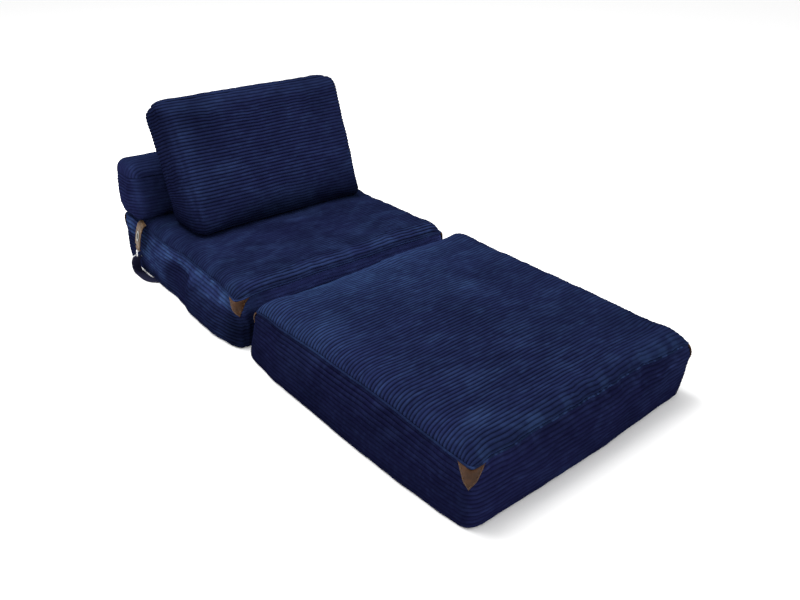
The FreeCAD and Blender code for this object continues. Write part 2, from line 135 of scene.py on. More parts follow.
def ribs_on(length, rib=RIB):
    """Positions along a length with 8 samples to a rib, and each sample's coordinate counted in ribs."""
    n = max(1, int(round(length / rib)))
    v = np.concatenate([(np.arange(n)[:, None] + PHASES[None, :]).ravel(), [n]])
    return v * length / n, v


def rib_profile(v):
    f = v - np.floor(v)
    return np.maximum(0.0, 1 - np.abs(2 * f - 1) ** 2.4) ** 0.8


def bicubic(grid, fi, fj, wrap_j=False):
    """Catmull-Rom samples of grid[i, j, :] at rows fi and columns fj."""
    ni, nj = grid.shape[:2]
    fi, fj = np.broadcast_arrays(np.asarray(fi, float), np.asarray(fj, float))

    def weights(t):
        return [-0.5 * t + t * t - 0.5 * t ** 3, 1 - 2.5 * t * t + 1.5 * t ** 3,
                0.5 * t + 2 * t * t - 1.5 * t ** 3, -0.5 * t * t + 0.5 * t ** 3]
    i, j = np.floor(fi).astype(int), np.floor(fj).astype(int)
    i = np.clip(i, 0, ni - 2)
    if not wrap_j:
        j = np.clip(j, 0, nj - 2)
    wi, wj = weights(fi - i), weights(fj - j)
    out = 0.0
    for a in range(4):
        ia = np.clip(i + a - 1, 0, ni - 1)
        for b in range(4):
            jb = (j + b - 1) % nj if wrap_j else np.clip(j + b - 1, 0, nj - 1)
            out = out + grid[ia, jb] * (wi[a] * wj[b])[..., None]
    return out


def grid_normals(P, wrap=False):
    du = np.empty_like(P)
    if wrap:
        du = np.roll(P, -1, axis=1) - np.roll(P, 1, axis=1)
    else:
        du[:, 1:-1] = P[:, 2:] - P[:, :-2]
        du[:, 0] = P[:, 1] - P[:, 0]
        du[:, -1] = P[:, -1] - P[:, -2]
    dv = np.empty_like(P)
    dv[1:-1] = P[2:] - P[:-2]
    dv[0] = P[1] - P[0]
    dv[-1] = P[-1] - P[-2]
    n = np.cross(du, dv)
    length = np.linalg.norm(n, axis=2, keepdims=True)
    return n / np.maximum(length, 1e-9)


# ---- meshes --------------------------------------------------------------
def mesh_from(name, verts, faces, material, uvs=None, smooth_faces=True):
    me = bpy.data.meshes.new(name)
    me.from_pydata((np.asarray(verts) * 0.001).tolist(), [], faces)
    if smooth_faces:
        me.polygons.foreach_set("use_smooth", [True] * len(me.polygons))
    if uvs is not None:
        layer = me.uv_layers.new(name="cloth")
        idx = np.empty(len(me.loops), int)
        me.loops.foreach_get("vertex_index", idx)
        layer.data.foreach_set("uv", np.asarray(uvs, float)[idx].ravel())
    if material.name.startswith("corduroy"):
        # the painted shading starts even: full light, no nap, unflattened pile
        look = me.attributes.new("look", "FLOAT_COLOR", "POINT")
        look.data.foreach_set("color", np.tile([1.0, 0.0, 0.0, 1.0], len(me.vertices)))
    me.materials.append(material)
    me.update()
    ob = bpy.data.objects.new(name, me)
    bpy.context.scene.collection.objects.link(ob)
    return ob


def paint(ob, fn):
    """Sets the painted light and shade, the painted highlights with the brushed nap, how flattened the pile is, and a
    colour shift that follows the painted light: fn(x, y, z, normals) gives these.
    """
    me = ob.data
    n = len(me.vertices)
    co, no = np.empty(n * 3), np.empty(n * 3)
    me.vertices.foreach_get("co", co)
    me.vertex_normals.foreach_get("vector", no)
    co, no = co.reshape(-1, 3) * 1000, no.reshape(-1, 3)
    out = np.ones((n, 4))
    for k, v in enumerate(fn(co[:, 0], co[:, 1], co[:, 2], no)):
        out[:, k] = v
    me.attributes["look"].data.foreach_set("color", out.ravel())
    return ob


def facing(no, left, right, front, back, top, bottom=None):
    """A value that goes smoothly from one side's to the next with the direction that the cloth faces."""
    bottom = back if bottom is None else bottom
    w = np.stack([np.maximum(-no[:, 0], 0), np.maximum(no[:, 0], 0), np.maximum(-no[:, 1], 0), np.maximum(no[:, 1], 0),
                  np.maximum(no[:, 2], 0), np.maximum(-no[:, 2], 0)], 1) ** 3
    return (w * np.array([left, right, front, back, top, bottom])).sum(1) / np.maximum(w.sum(1), 1e-9)


def grid_faces(nr, nc, wrap, base=0, flip=False):
    i = np.arange(nr - 1)[:, None]
    j = np.arange(nc if wrap else nc - 1)[None, :]
    j1 = (j + 1) % nc
    a = base + i * nc + j
    b = base + i * nc + j1
    c = base + (i + 1) * nc + j1
    d = base + (i + 1) * nc + j
    f = np.stack([a + 0 * b, b, c, d], axis=-1).reshape(-1, 4)
    if flip:
        f = f[:, ::-1]
    return f.tolist()


def closed_sheet(name, P, U, Vc, material, back=3.0, flip=False):
    """An open grid made closed: its border runs inwards to one hidden point behind it."""
    nr, nc = P.shape[:2]
    verts = P.reshape(-1, 3)
    faces = grid_faces(nr, nc, False, flip=flip)
    ring = [j for j in range(nc)] + [i * nc + nc - 1 for i in range(1, nr)]
    ring += [(nr - 1) * nc + j for j in range(nc - 2, -1, -1)] + [i * nc for i in range(nr - 2, 0, -1)]
    n = grid_normals(P).reshape(-1, 3).mean(0) * (-1 if flip else 1)
    centre = verts[ring].mean(0) - n * back
    verts = np.vstack([verts, centre])
    c = len(verts) - 1
    for k in range(len(ring)):
        a, b = ring[k], ring[(k + 1) % len(ring)]
        faces.append([b, a, c] if not flip else [a, b, c])
    uv = np.stack([U, Vc], -1).reshape(-1, 2)
    uv = np.vstack([uv, [0, 0]])
    return mesh_from(name, verts, faces, material, uv)


def closed_tube(name, P, U, Vc, material, lo=None, hi=None, flip=False):
    """A grid that is closed along its columns, with a hidden point at each end."""
    nr, nc = P.shape[:2]
    verts = P.reshape(-1, 3)
    faces = grid_faces(nr, nc, True, flip=flip)
    c0 = P[0].mean(0) if lo is None else np.asarray(lo, float)
    c1 = P[-1].mean(0) if hi is None else np.asarray(hi, float)
    verts = np.vstack([verts, c0, c1])
    k0, k1 = len(verts) - 2, len(verts) - 1
    for j in range(nc):
        j1 = (j + 1) % nc
        a, b = j, j1
        faces.append([b, a, k0] if not flip else [a, b, k0])
        a, b = (nr - 1) * nc + j, (nr - 1) * nc + j1
        faces.append([a, b, k1] if not flip else [b, a, k1])
    uv = np.vstack([np.stack([U, Vc], -1).reshape(-1, 2), [0, 0], [0, 0]])
    return mesh_from(name, verts, faces, material, uv)


def sweep(name, path, material, section, up=(0, 0, 1), closed=True, along=1.0, normals=None):
    """A cross-section (list of (across, up) pairs, mm) carried along a path of points."""
    P = np.asarray(path, float)
    n = len(P)
    if closed:
        t = np.roll(P, -1, 0) - np.roll(P, 1, 0)
    else:
        t = np.gradient(P, axis=0)
    t /= np.maximum(np.linalg.norm(t, axis=1, keepdims=True), 1e-9)
    if normals is None:
        upv = np.tile(np.asarray(up, float), (n, 1))
    else:
        upv = np.asarray(normals, float)
    side = np.cross(t, upv)
    side /= np.maximum(np.linalg.norm(side, axis=1, keepdims=True), 1e-9)
    upv = np.cross(side, t)
    sec = np.asarray(section, float)
    G = P[:, None, :] + side[:, None, :] * sec[None, :, 0:1] + upv[:, None, :] * sec[None, :, 1:2]
    m = len(sec)
    verts = G.reshape(-1, 3)
    faces = []
    last = n if closed else n - 1
    for i in range(last):
        i1 = (i + 1) % n
        for j in range(m):
            j1 = (j + 1) % m
            faces.append([i * m + j, i * m + j1, i1 * m + j1, i1 * m + j])
    s = np.concatenate([[0], np.cumsum(np.linalg.norm(np.diff(P, axis=0), axis=1))])
    U = np.repeat(s, m) * 0.001
    W = np.tile(np.arange(m) / m, n)
    uv = np.stack([U, W], -1)
    if not closed:
        verts = np.vstack([verts, P[0], P[-1]])
        uv = np.vstack([uv, [0, 0], [0, 0]])
        a, b = len(verts) - 2, len(verts) - 1
        for j in range(m):
            j1 = (j + 1) % m
            faces.append([a, j1, j])
            faces.append([b, (n - 1) * m + j, (n - 1) * m + j1])
    ob = mesh_from(name, verts, faces, material, uv)
    return ob


def ring_section(rx, rz, m=10, z=0.0):
    a = np.arange(m) / m * 2 * math.pi
    return np.stack([rx * np.cos(a), z + rz * np.sin(a)], -1)


def joined(name, obs, material=None):
    """Several meshes as one object."""
    verts, faces, uvs, base = [], [], [], 0
    for o in obs:
        me = o.data
        co = np.empty(len(me.vertices) * 3)
        me.vertices.foreach_get("co", co)
        verts.append(co.reshape(-1, 3) * 1000)
        faces += [[base + v for v in p.vertices] for p in me.polygons]
        uv = np.zeros((len(me.vertices), 2))
        if me.uv_layers:
            raw = np.empty(len(me.loops) * 2)
            me.uv_layers[0].data.foreach_get("uv", raw)
            idx = np.empty(len(me.loops), int)
            me.loops.foreach_get("vertex_index", idx)
            uv[idx] = raw.reshape(-1, 2)
        uvs.append(uv)
        base += len(me.vertices)
    mat = material or obs[0].data.materials[0]
    flat = [p.use_smooth for o in obs for p in o.data.polygons]
    for o in obs:
        old = o.data
        bpy.data.objects.remove(o)
        bpy.data.meshes.remove(old)
    ob = mesh_from(name, np.vstack(verts), faces, mat, np.vstack(uvs))
    ob.data.polygons.foreach_set("use_smooth", flat)
    return ob


# ---- materials -----------------------------------------------------------
class Nodes:
    def __init__(self, name):
        self.m = bpy.data.materials.new(name)
        self.m.use_nodes = True
        self.t = self.m.node_tree
        self.t.nodes.clear()
        self.out = self.t.nodes.new("ShaderNodeOutputMaterial")
        self.b = self.t.nodes.new("ShaderNodeBsdfPrincipled")
        self.t.links.new(self.b.outputs[0], self.out.inputs[0])

    def new(self, kind, **values):
        n = self.t.nodes.new(kind)
        for k, v in values.items():
            if hasattr(n, k) and not k.startswith("in_"):
                setattr(n, k, v)
        return n

    def link(self, a, b):
        self.t.links.new(a, b)

    def math(self, op, a, b=None, c=None, clamp=False):
        n = self.t.nodes.new("ShaderNodeMath")
        n.operation = op
        n.use_clamp = clamp
        for i, x in enumerate((a, b, c)):
            if x is None:
                continue
            if hasattr(x, "links"):
                self.link(x, n.inputs[i])
            else:
                n.inputs[i].default_value = x
        return n.outputs[0]

    def mix(self, fac, a, b, mode="MIX"):
        n = self.t.nodes.new("ShaderNodeMix")
        n.data_type = "RGBA"
        n.blend_type = mode
        for sock, x in ((n.inputs["Factor"], fac), (n.inputs[6], a), (n.inputs[7], b)):
            if hasattr(x, "links"):
                self.link(x, sock)
            elif isinstance(x, (tuple, list)):
                sock.default_value = (*x, 1) if len(x) == 3 else x
            else:
                sock.default_value = x
        return n.outputs[2]

    def noise(self, vector, scale, detail=2.0, rough=0.5, dist=0.0):
        n = self.t.nodes.new("ShaderNodeTexNoise")
        n.inputs["Scale"].default_value = scale
        n.inputs["Detail"].default_value = detail
        n.inputs["Roughness"].default_value = rough
        n.inputs["Distortion"].default_value = dist
        self.link(vector, n.inputs["Vector"])
        return n.outputs["Fac"]

    def mapping(self, vector, scale=(1, 1, 1), loc=(0, 0, 0), rot=(0, 0, 0)):
        n = self.t.nodes.new("ShaderNodeMapping")
        n.inputs["Scale"].default_value = scale
        n.inputs["Location"].default_value = loc
        n.inputs["Rotation"].default_value = rot
        self.link(vector, n.inputs["Vector"])
        return n.outputs[0]

    def ramp(self, fac, stops):
        n = self.t.nodes.new("ShaderNodeMapRange")
        n.interpolation_type = "SMOOTHSTEP"
        self.link(fac, n.inputs[0])
        n.inputs[1].default_value, n.inputs[2].default_value = stops[0][0], stops[1][0]
        n.inputs[3].default_value, n.inputs[4].default_value = stops[0][1], stops[1][1]
        return n.outputs[0]

    def set(self, name, value):
        self.b.inputs[name].default_value = value

    def bump(self, height, strength, distance):
        n = self.t.nodes.new("ShaderNodeBump")
        n.inputs["Strength"].default_value = strength
        n.inputs["Distance"].default_value = distance
        self.link(height, n.inputs["Height"])
        self.link(n.outputs[0], self.b.inputs["Normal"])


def corduroy(name, ribbed=True, seed=0.0):
    k = Nodes(name)
    co = k.new("ShaderNodeTexCoord")
    obj = co.outputs["Object"]
    # the colour attribute holds the painted light and shade, the brushed nap with painted highlights, the flattened
    # pile and a colour shift that goes with the painted light
    att = k.new("ShaderNodeAttribute", attribute_name="look")
    look = k.new("ShaderNodeSeparateColor")
    k.link(att.outputs["Color"], look.inputs[0])
    painted_light, nap_and_highlight, flat = look.outputs[0], look.outputs[1], look.outputs[2]
    # painted shade down between the ribs; the crest colour is the pile's own navy, and the lighter colour is brushed
    # nap, which the second channel also uses for painted highlights
    groove_shade = (0.0036, 0.0036, 0.0120)
    crest = (0.0144, 0.0215, 0.0735)
    brushed = (0.0275, 0.0510, 0.1400)
    # nap: large soft patches where the pile was brushed the other way
    big = k.noise(k.mapping(obj, scale=(1.0, 1.6, 1.6), loc=(seed, 0, 0)), 4.2, 3.0, 0.55, 0.6)
    patch = k.ramp(big, ((0.50, 0.0), (0.72, 1.0)))
    small = k.noise(k.mapping(obj, scale=(1.0, 2.6, 2.6), loc=(0, seed, 0)), 26.0, 3.0, 0.6, 0.3)
    lift = k.math("MULTIPLY_ADD", k.ramp(small, ((0.42, 0.0), (0.74, 1.0))), 0.42,
                  k.math("MULTIPLY", patch, 0.45), clamp=True)
    # the second channel adds brushed nap and painted highlights
    lift = k.math("ADD", lift, nap_and_highlight, clamp=True)
    base = k.mix(lift, crest, brushed)
    # flattened pile lifts the painted shade between the ribs
    low = k.mix(flat, groove_shade, base)
    fuzz = k.noise(k.mapping(obj, scale=(1, 1, 1)), 700.0, 2.0, 0.6)
    if ribbed:
        uv = k.new("ShaderNodeSeparateXYZ")
        k.link(co.outputs["UV"], uv.inputs[0])
        # the rib profile puts the painted shade down in the grooves and the lighter crest on top
        f = k.math("FRACT", uv.outputs["Y"])
        tri = k.math("ABSOLUTE", k.math("MULTIPLY_ADD", f, 2.0, -1.0))
        crown = k.math("SUBTRACT", 1.0, k.math("POWER", tri, 1.7))
        # streaks along each rib
        st = k.new("ShaderNodeCombineXYZ")
        k.link(k.math("MULTIPLY", uv.outputs["X"], 42.0), st.inputs[0])
        k.link(k.math("MULTIPLY", k.math("FLOOR", uv.outputs["Y"]), 3.7), st.inputs[1])
        streak = k.noise(st.outputs[0], 1.0, 2.0, 0.6)
        crown = k.math("MULTIPLY", crown, k.math("MULTIPLY_ADD", streak, 0.9, 0.50), clamp=True)
        crown = k.math("MULTIPLY", crown, k.math("MULTIPLY_ADD", fuzz, 0.5, 0.75), clamp=True)
        colour = k.mix(crown, low, base)
    else:
        colour = k.mix(k.math("MULTIPLY_ADD", fuzz, 0.6, 0.35, clamp=True), low, base)
    # painted light and shade: the first channel scales the whole colour, and the alpha shifts red and green with it,
    # lower green on the shaded sides and more on the lit tops
    shade = k.new("ShaderNodeCombineColor")
    painted_hue = att.outputs["Alpha"]
    k.link(k.math("MULTIPLY", painted_light, k.math("MULTIPLY_ADD", painted_hue, -0.15, 1.15)), shade.inputs[0])
    k.link(k.math("MULTIPLY", painted_light, k.math("MULTIPLY_ADD", painted_hue, 0.40, 0.60)), shade.inputs[1])
    k.link(painted_light, shade.inputs[2])
    k.link(k.mix(1.0, colour, shade.outputs[0], "MULTIPLY"), k.b.inputs["Base Color"])
    k.set("Roughness", 0.95)
    k.set("Specular IOR Level", 0.0)
    k.set("Sheen Weight", 0.0)
    k.set("Sheen Roughness", 0.45)
    k.set("Sheen Tint", (0.25, 0.38, 1.0, 1))
    k.bump(fuzz, 0.35, 0.0009)
    return k.m


def leather(name, base, light, rough=0.5):
    k = Nodes(name)
    co = k.new("ShaderNodeTexCoord").outputs["Object"]
    mottle = k.noise(co, 60.0, 4.0, 0.6, 0.4)
    pores = k.noise(co, 900.0, 3.0, 0.65)
    fac = k.math("MULTIPLY_ADD", k.math("SUBTRACT", pores, 0.5), 0.5, k.ramp(mottle, ((0.3, 0.0), (0.75, 1.0))),
                 clamp=True)
    k.link(k.mix(fac, base, light), k.b.inputs["Base Color"])
    k.set("Roughness", rough)
    k.set("Specular IOR Level", 0.22)
    k.bump(pores, 0.45, 0.0006)
    return k.m


def plain(name, base, rough=0.8, metallic=0.0, weave=None, vary=0.25, spec=0.3):
    k = Nodes(name)
    co = k.new("ShaderNodeTexCoord")
    n = k.noise(co.outputs["Object"], 120.0, 3.0, 0.6)
    dark = tuple(c * (1 - vary) for c in base)
    light = tuple(min(1.0, c * (1 + vary)) for c in base)
    colour = k.mix(n, dark, light)
    if weave:
        sep = k.new("ShaderNodeSeparateXYZ")
        k.link(co.outputs[weave[0]], sep.inputs[0])
        a = k.math("SINE", k.math("MULTIPLY", sep.outputs["X"], weave[1]))
        b = k.math("SINE", k.math("MULTIPLY", sep.outputs["Y"], weave[2]))
        w = k.math("MULTIPLY_ADD", k.math("MULTIPLY", a, b), 0.5, 0.5)
        colour = k.mix(w, dark, colour)
        k.bump(w, 0.5, 0.0004)
    k.link(colour, k.b.inputs["Base Color"])
    k.set("Roughness", rough)
    k.set("Metallic", metallic)
    k.set("Specular IOR Level", spec)
    return k.m


def steel(name, base=(0.62, 0.62, 0.64), rough=0.3):
    k = Nodes(name)
    co = k.new("ShaderNodeTexCoord").outputs["Object"]
    n = k.noise(k.mapping(co, scale=(1, 1, 0.15)), 700.0, 3.0, 0.6)
    k.link(k.mix(n, tuple(c * 0.82 for c in base), base), k.b.inputs["Base Color"])
    k.link(k.ramp(n, ((0.3, rough - 0.06), (0.7, rough + 0.1))), k.b.inputs["Roughness"])
    k.set("Metallic", 1.0)
    return k.m


M_CORD = corduroy("corduroy")
M_CORD_SEAM = corduroy("corduroy_seam", ribbed=False)
M_PATCH = leather("patch_leather", (0.030, 0.0105, 0.0024), (0.056, 0.0200, 0.0048), 0.6)
M_STRAP = leather("strap_leather", (0.060, 0.033, 0.015), (0.136, 0.080, 0.041), 0.55)
M_STITCH = plain("stitch_thread", (0.105, 0.058, 0.025), 0.7)
M_STEEL = steel("hook_steel")
M_EYELET = steel("eyelet_metal", (0.27, 0.26, 0.235), 0.45)
M_LINING = plain("lining", (0.012, 0.015, 0.034), 0.85, weave=("Object", 3200.0, 3200.0), vary=0.3, spec=0.15)
M_WEB = plain("webbing", (0.0042, 0.0046, 0.026), 0.8, weave=("UV", 5200.0, 90.0), vary=0.35, spec=0.2)
M_TAPE = plain("zip_tape", (0.010, 0.013, 0.035), 0.85, weave=("Object", 4200.0, 4200.0), spec=0.15)
M_TEETH = plain("zip_teeth", (0.02, 0.022, 0.045), 0.45, spec=0.4)
M_ZIP = plain("zip_metal", (0.10, 0.10, 0.115), 0.35, metallic=0.9)


# ---- cloth simulation of a closed coarse cushion -------------------------
def box_lattice(nx, ny, nz):
    """Vertex numbers on the six faces of a lattice, its faces, and each vertex's lattice place."""
    index, place = {}, []

    def vid(i, j, k):
        key = (i, j, k)
        if key not in index:
            index[key] = len(place)
            place.append(key)
        return index[key]
    faces = []
    for i in range(nx):
        for j in range(ny):
            faces.append([vid(i, j, 0), vid(i, j + 1, 0), vid(i + 1, j + 1, 0), vid(i + 1, j, 0)])
            faces.append([vid(i, j, nz), vid(i + 1, j, nz), vid(i + 1, j + 1, nz), vid(i, j + 1, nz)])
    for k in range(nz):
        for i in range(nx):
            faces.append([vid(i, 0, k), vid(i + 1, 0, k), vid(i + 1, 0, k + 1), vid(i, 0, k + 1)])
            faces.append([vid(i, ny, k), vid(i, ny, k + 1), vid(i + 1, ny, k + 1), vid(i + 1, ny, k)])
        for j in range(ny):
            faces.append([vid(0, j, k), vid(0, j, k + 1), vid(0, j + 1, k + 1), vid(0, j + 1, k)])
            faces.append([vid(nx, j, k), vid(nx, j + 1, k), vid(nx, j + 1, k + 1), vid(nx, j, k + 1)])
    return index, np.array(place), faces


def run_cloth(name, verts, faces, pinned, seam, pressure, loose, gather, stiff, cap):
    """Inflates a closed mesh with Blender's cloth and gives back each vertex's capped movement, in mm."""
    me = bpy.data.meshes.new(name)
    me.from_pydata((verts * 0.001).tolist(), [], faces)
    ob = bpy.data.objects.new(name, me)
    sc = bpy.context.scene
    sc.collection.objects.link(ob)
    g = ob.vertex_groups.new(name="hold")
    for idx, w in pinned:
        g.add([int(i) for i in idx], w, "REPLACE")
    s = ob.vertex_groups.new(name="seam")
    s.add([int(i) for i in seam], 1.0, "REPLACE")
    m = ob.modifiers.new("cloth", "CLOTH")
    c = m.settings
    c.quality = 5
    c.mass = 0.35
    c.tension_stiffness = c.compression_stiffness = stiff
    c.shear_stiffness = stiff * 0.4
    c.bending_stiffness = 0.6
    c.vertex_group_mass = "hold"
    c.pin_stiffness = 1.0
    c.vertex_group_shrink = "seam"
    c.shrink_min, c.shrink_max = loose, gather
    c.use_pressure = True
    c.uniform_pressure_force = pressure
    c.effector_weights.gravity = 0.0
    m.collision_settings.use_collision = False
    for f in range(1, 21):
        sc.frame_set(f)
    ev = ob.evaluated_get(bpy.context.evaluated_depsgraph_get())
    co = np.empty(len(ev.data.vertices) * 3)
    ev.data.vertices.foreach_get("co", co)
    sc.frame_set(1)
    d = co.reshape(-1, 3) * 1000 - verts
    bpy.data.objects.remove(ob)
    bpy.data.meshes.remove(me)
    d[~np.isfinite(d).all(1)] = 0
    length = np.linalg.norm(d, axis=1, keepdims=True)
    return d * (cap * np.tanh(length / cap) / np.maximum(length, 1e-9))


class Cushion:
    """A boxed cushion: a side band between a base and a top panel, in its own local frame.

    ext(w) gives x0, x1, y0, y1, r of the band's outline at height w; rise, reach and crown
    shape the top panel. place() carries local points into the row frame, and shape() is
    the modelling applied to placed points."""

    def __init__(self, name, w0, w1, ext, rise, reach, crown, bulge, base_turn, place=None, shape=None,
                 cell=13.0, low_rise=0.0, low_reach=60.0, low_crown=0.0, ripple=1.0, flare=None, square=2.0,
                 flare_power=1.0):
        self.name, self.w0, self.w1, self.ext = name, w0, w1, ext
        self.rise, self.reach, self.crown, self.bulge, self.turn = rise, reach, crown, bulge, base_turn
        self.place = place or (lambda P: P)
        self.shape = shape or (lambda P: P)
        self.low_rise, self.low_reach, self.low_crown = low_rise, low_reach, low_crown
        self.ripple = ripple
        self.flare, self.square, self.flare_power = flare, square, flare_power
        self.reach = (reach,) * 4 if np.isscalar(reach) else reach      # front, right, back, left
        self.low_reach = (low_reach,) * 4 if np.isscalar(low_reach) else low_reach
        self.cell = cell
        self.sim = None
        self.rib = RIB

    # outline of the band at height w, at perimeter coordinate c in 0..4 (a unit to a side)
    def columns(self, step=9.0, corner=9):
        x0, x1, y0, y1, r = [float(np.asarray(v).reshape(-1)[0]) for v in self.ext(np.array([0.5 * (self.w0 + self.w1)]))]
        side, frac = [], []
        for k, length in enumerate((x1 - x0 - 2 * r, y1 - y0 - 2 * r, x1 - x0 - 2 * r, y1 - y0 - 2 * r)):
            n = max(6, int(round(length / step)))
            t = (np.arange(n)) / n
            side += [2 * k] * n
            frac += t.tolist()
            side += [2 * k + 1] * corner
            frac += (np.arange(corner) / corner).tolist()
        return np.array(side), np.array(frac)

    def outline(self, w, side, frac):
        x0, x1, y0, y1, r = [np.asarray(v, float) for v in self.ext(w)]
        X = np.zeros(np.broadcast(w, side).shape)
        Y, NX, NY, C = np.zeros_like(X), np.zeros_like(X), np.zeros_like(X), np.zeros_like(X)
        side = np.broadcast_to(side, X.shape)
        frac = np.broadcast_to(frac, X.shape)
        x0, x1, y0, y1, r = [np.broadcast_to(v, X.shape) for v in (x0, x1, y0, y1, r)]
        corners = {1: (x1 - r, y0 + r, -90), 3: (x1 - r, y1 - r, 0), 5: (x0 + r, y1 - r, 90), 7: (x0 + r, y0 + r, 180)}
        for s in range(8):
            m = side == s
            if not m.any():
                continue
            f = frac[m]
            if s == 0:
                X[m], Y[m], NX[m], NY[m] = (x0 + r)[m] + f * (x1 - x0 - 2 * r)[m], y0[m], 0, -1
            elif s == 2:
                X[m], Y[m], NX[m], NY[m] = x1[m], (y0 + r)[m] + f * (y1 - y0 - 2 * r)[m], 1, 0
            elif s == 4:
                X[m], Y[m], NX[m], NY[m] = (x1 - r)[m] - f * (x1 - x0 - 2 * r)[m], y1[m], 0, 1
            elif s == 6:
                X[m], Y[m], NX[m], NY[m] = x0[m], (y1 - r)[m] - f * (y1 - y0 - 2 * r)[m], -1, 0
            else:
                cx, cy, a0 = corners[s]
                a = np.radians(a0 + 90 * f)
                X[m], Y[m] = cx[m] + r[m] * np.cos(a), cy[m] + r[m] * np.sin(a)
                NX[m], NY[m] = np.cos(a), np.sin(a)
            # perimeter coordinate: 0 at the front-left corner's middle, 1 at the front-right's, and so on
            lx, ly = (x1 - x0)[m], (y1 - y0)[m]
            if s == 0:
                C[m] = (X[m] - x0[m]) / lx
            elif s == 2:
                C[m] = 1 + (Y[m] - y0[m]) / ly
            elif s == 4:
                C[m] = 2 + (x1[m] - X[m]) / lx
            elif s == 6:
                C[m] = 3 + (y1[m] - Y[m]) / ly
            else:
                k = (s + 1) // 2
                ra = r[m] / (lx if k % 2 else ly)
                rb = r[m] / (ly if k % 2 else lx)
                C[m] = np.where(f < 0.5, k - ra * (1 - 2 * f), k + rb * (2 * f - 1))
        return X, Y, NX, NY, C % 4.0

    def side_bulge(self, C, tau):
        """How far the side stands out of its outline at tau = 0 (floor) .. 1 (seam)."""
        k = np.floor(C).astype(int) % 4
        f = C - np.floor(C)
        b = np.asarray(self.bulge, float)[k]
        out = b * (1 - np.abs(2 * f - 1) ** 3.0) * np.sin(math.pi * clamp01(tau)) ** 0.85
        if self.flare is not None:
            low = np.zeros_like(f)
            for s in range(4):
                low = np.where(k == s, through(f, self.flare[s]), low)
            out = out + low * clamp01(1 - clamp01(tau) ** 1.6) ** self.flare_power
        return out

    def rows(self):
        """Heights and insets up the band: under the base, round its lower edge and up to the seam."""
        t = self.turn
        w = np.linspace(self.w0 + t, self.w1, 60)
        prof = []
        if t > 0:
            for a in np.linspace(0, 90, 16)[:-1]:
                a = math.radians(a)
                prof.append((t * (1 - math.sin(a)), self.w0 + t * (1 - math.cos(a))))
        prof += [(0.0, x) for x in w]
        prof = np.array(prof)
        s = np.concatenate([[0], np.cumsum(np.hypot(*np.diff(prof, axis=0).T))])
        return prof, s

    def band_points(self, s_at, side, frac):
        """Placed, shaped points of the band at arc lengths s_at (rows) and columns."""
        prof, s = self.rows()
        ins = np.interp(s_at, s, prof[:, 0])[:, None]
        w = np.interp(s_at, s, prof[:, 1])[:, None]
        X, Y, NX, NY, C = self.outline(w, side[None, :], frac[None, :])
        tau = clamp01((w - self.w0 - self.turn * 0.5) / (self.w1 - self.w0 - self.turn * 0.5))
        b = self.side_bulge(C, tau)
        P = np.stack([X + NX * (b - ins), Y + NY * (b - ins), w + 0 * X], -1)
        if self.sim is not None:
            nz = self.sim["nz"]
            T = s_at[:, None] / s[-1] * nz + 0 * C
            f = C - np.floor(C)
            k = np.floor(C).astype(int) % 4
            nx, ny = self.sim["nx"], self.sim["ny"]
            start = np.array([0, nx, nx + ny, 2 * nx + ny])[k]
            J = start + f * np.array([nx, ny, nx, ny])[k]
            P = P + bicubic(self.sim["band"], T, J, wrap_j=True)
        return P, C, w + 0 * C

    def top_point(self, x, y, top=True):
        """Height of the top panel over the seam (or of the bottom panel) at local x, y."""
        w = self.w1 if top else self.w0
        x0, x1, y0, y1, r = [float(np.asarray(v).reshape(-1)[0]) for v in self.ext(np.array([w]))]
        rise, reach, crown = (self.rise, self.reach, self.crown) if top else (self.low_rise, self.low_reach, self.low_crown)
        dx = np.minimum(x - x0, x1 - x)
        dy = np.minimum(y - y0, y1 - y)
        q = self.square
        h = rise * quarter(x - x0, reach[3], q) * quarter(x1 - x, reach[1], q) \
            * quarter(y - y0, reach[0], q) * quarter(y1 - y, reach[2], q)
        h = h + crown * soft_step(dx, (x1 - x0) * 0.5) * soft_step(dy, (y1 - y0) * 0.5)
        return h

    def prepare(self, pressure, loose, gather, stiff, cap, pin_base=True, keep_low=0.35):
        """Runs the cloth on a coarse copy and keeps its movement for the fine pieces."""
        x0, x1, y0, y1, r = [float(np.asarray(v).reshape(-1)[0]) for v in self.ext(np.array([self.w1]))]
        prof, s = self.rows()
        nx, ny = int(round((x1 - x0) / self.cell)), int(round((y1 - y0) / self.cell))
        nz = max(3, int(round(s[-1] / self.cell)))
        index, place, faces = box_lattice(nx, ny, nz)
        V = np.zeros((len(place), 3))
        i, j, k = place.T
        S = k / nz * s[-1]
        ins, w = np.interp(S, s, prof[:, 0]), np.interp(S, s, prof[:, 1])
        e = [np.asarray(v, float) + 0 * w for v in self.ext(w)]
        X = e[0] + ins + (e[1] - e[0] - 2 * ins) * i / nx
        Y = e[2] + ins + (e[3] - e[2] - 2 * ins) * j / ny
        on_x = np.where(i == 0, -1, np.where(i == nx, 1, 0))
        on_y = np.where(j == 0, -1, np.where(j == ny, 1, 0))
        wall = (k > 0) & (k < nz)
        edge = (on_x != 0) & (on_y != 0)
        X = X - np.where(edge, on_x * 0.22 * e[4], 0)
        Y = Y - np.where(edge, on_y * 0.22 * e[4], 0)
        C = np.where(on_y == -1, i / nx, np.where(on_x == 1, 1 + j / ny, np.where(on_y == 1, 3 - i / nx, 4 - j / ny)))
        tau = clamp01((w - self.w0 - self.turn * 0.5) / (self.w1 - self.w0 - self.turn * 0.5))
        b = np.where(wall, self.side_bulge(C % 4.0, tau), 0)
        X = X + np.where(on_y == 0, on_x * b, 0)
        Y = Y + np.where(on_y != 0, on_y * b, 0)
        Z = w.copy()
        top = k == nz
        Z[top] = self.w1 + self.top_point(X[top], Y[top])
        low = (k == 0)
        if self.low_rise or self.low_crown:
            Z[low] = self.w0 - self.top_point(X[low], Y[low], False)
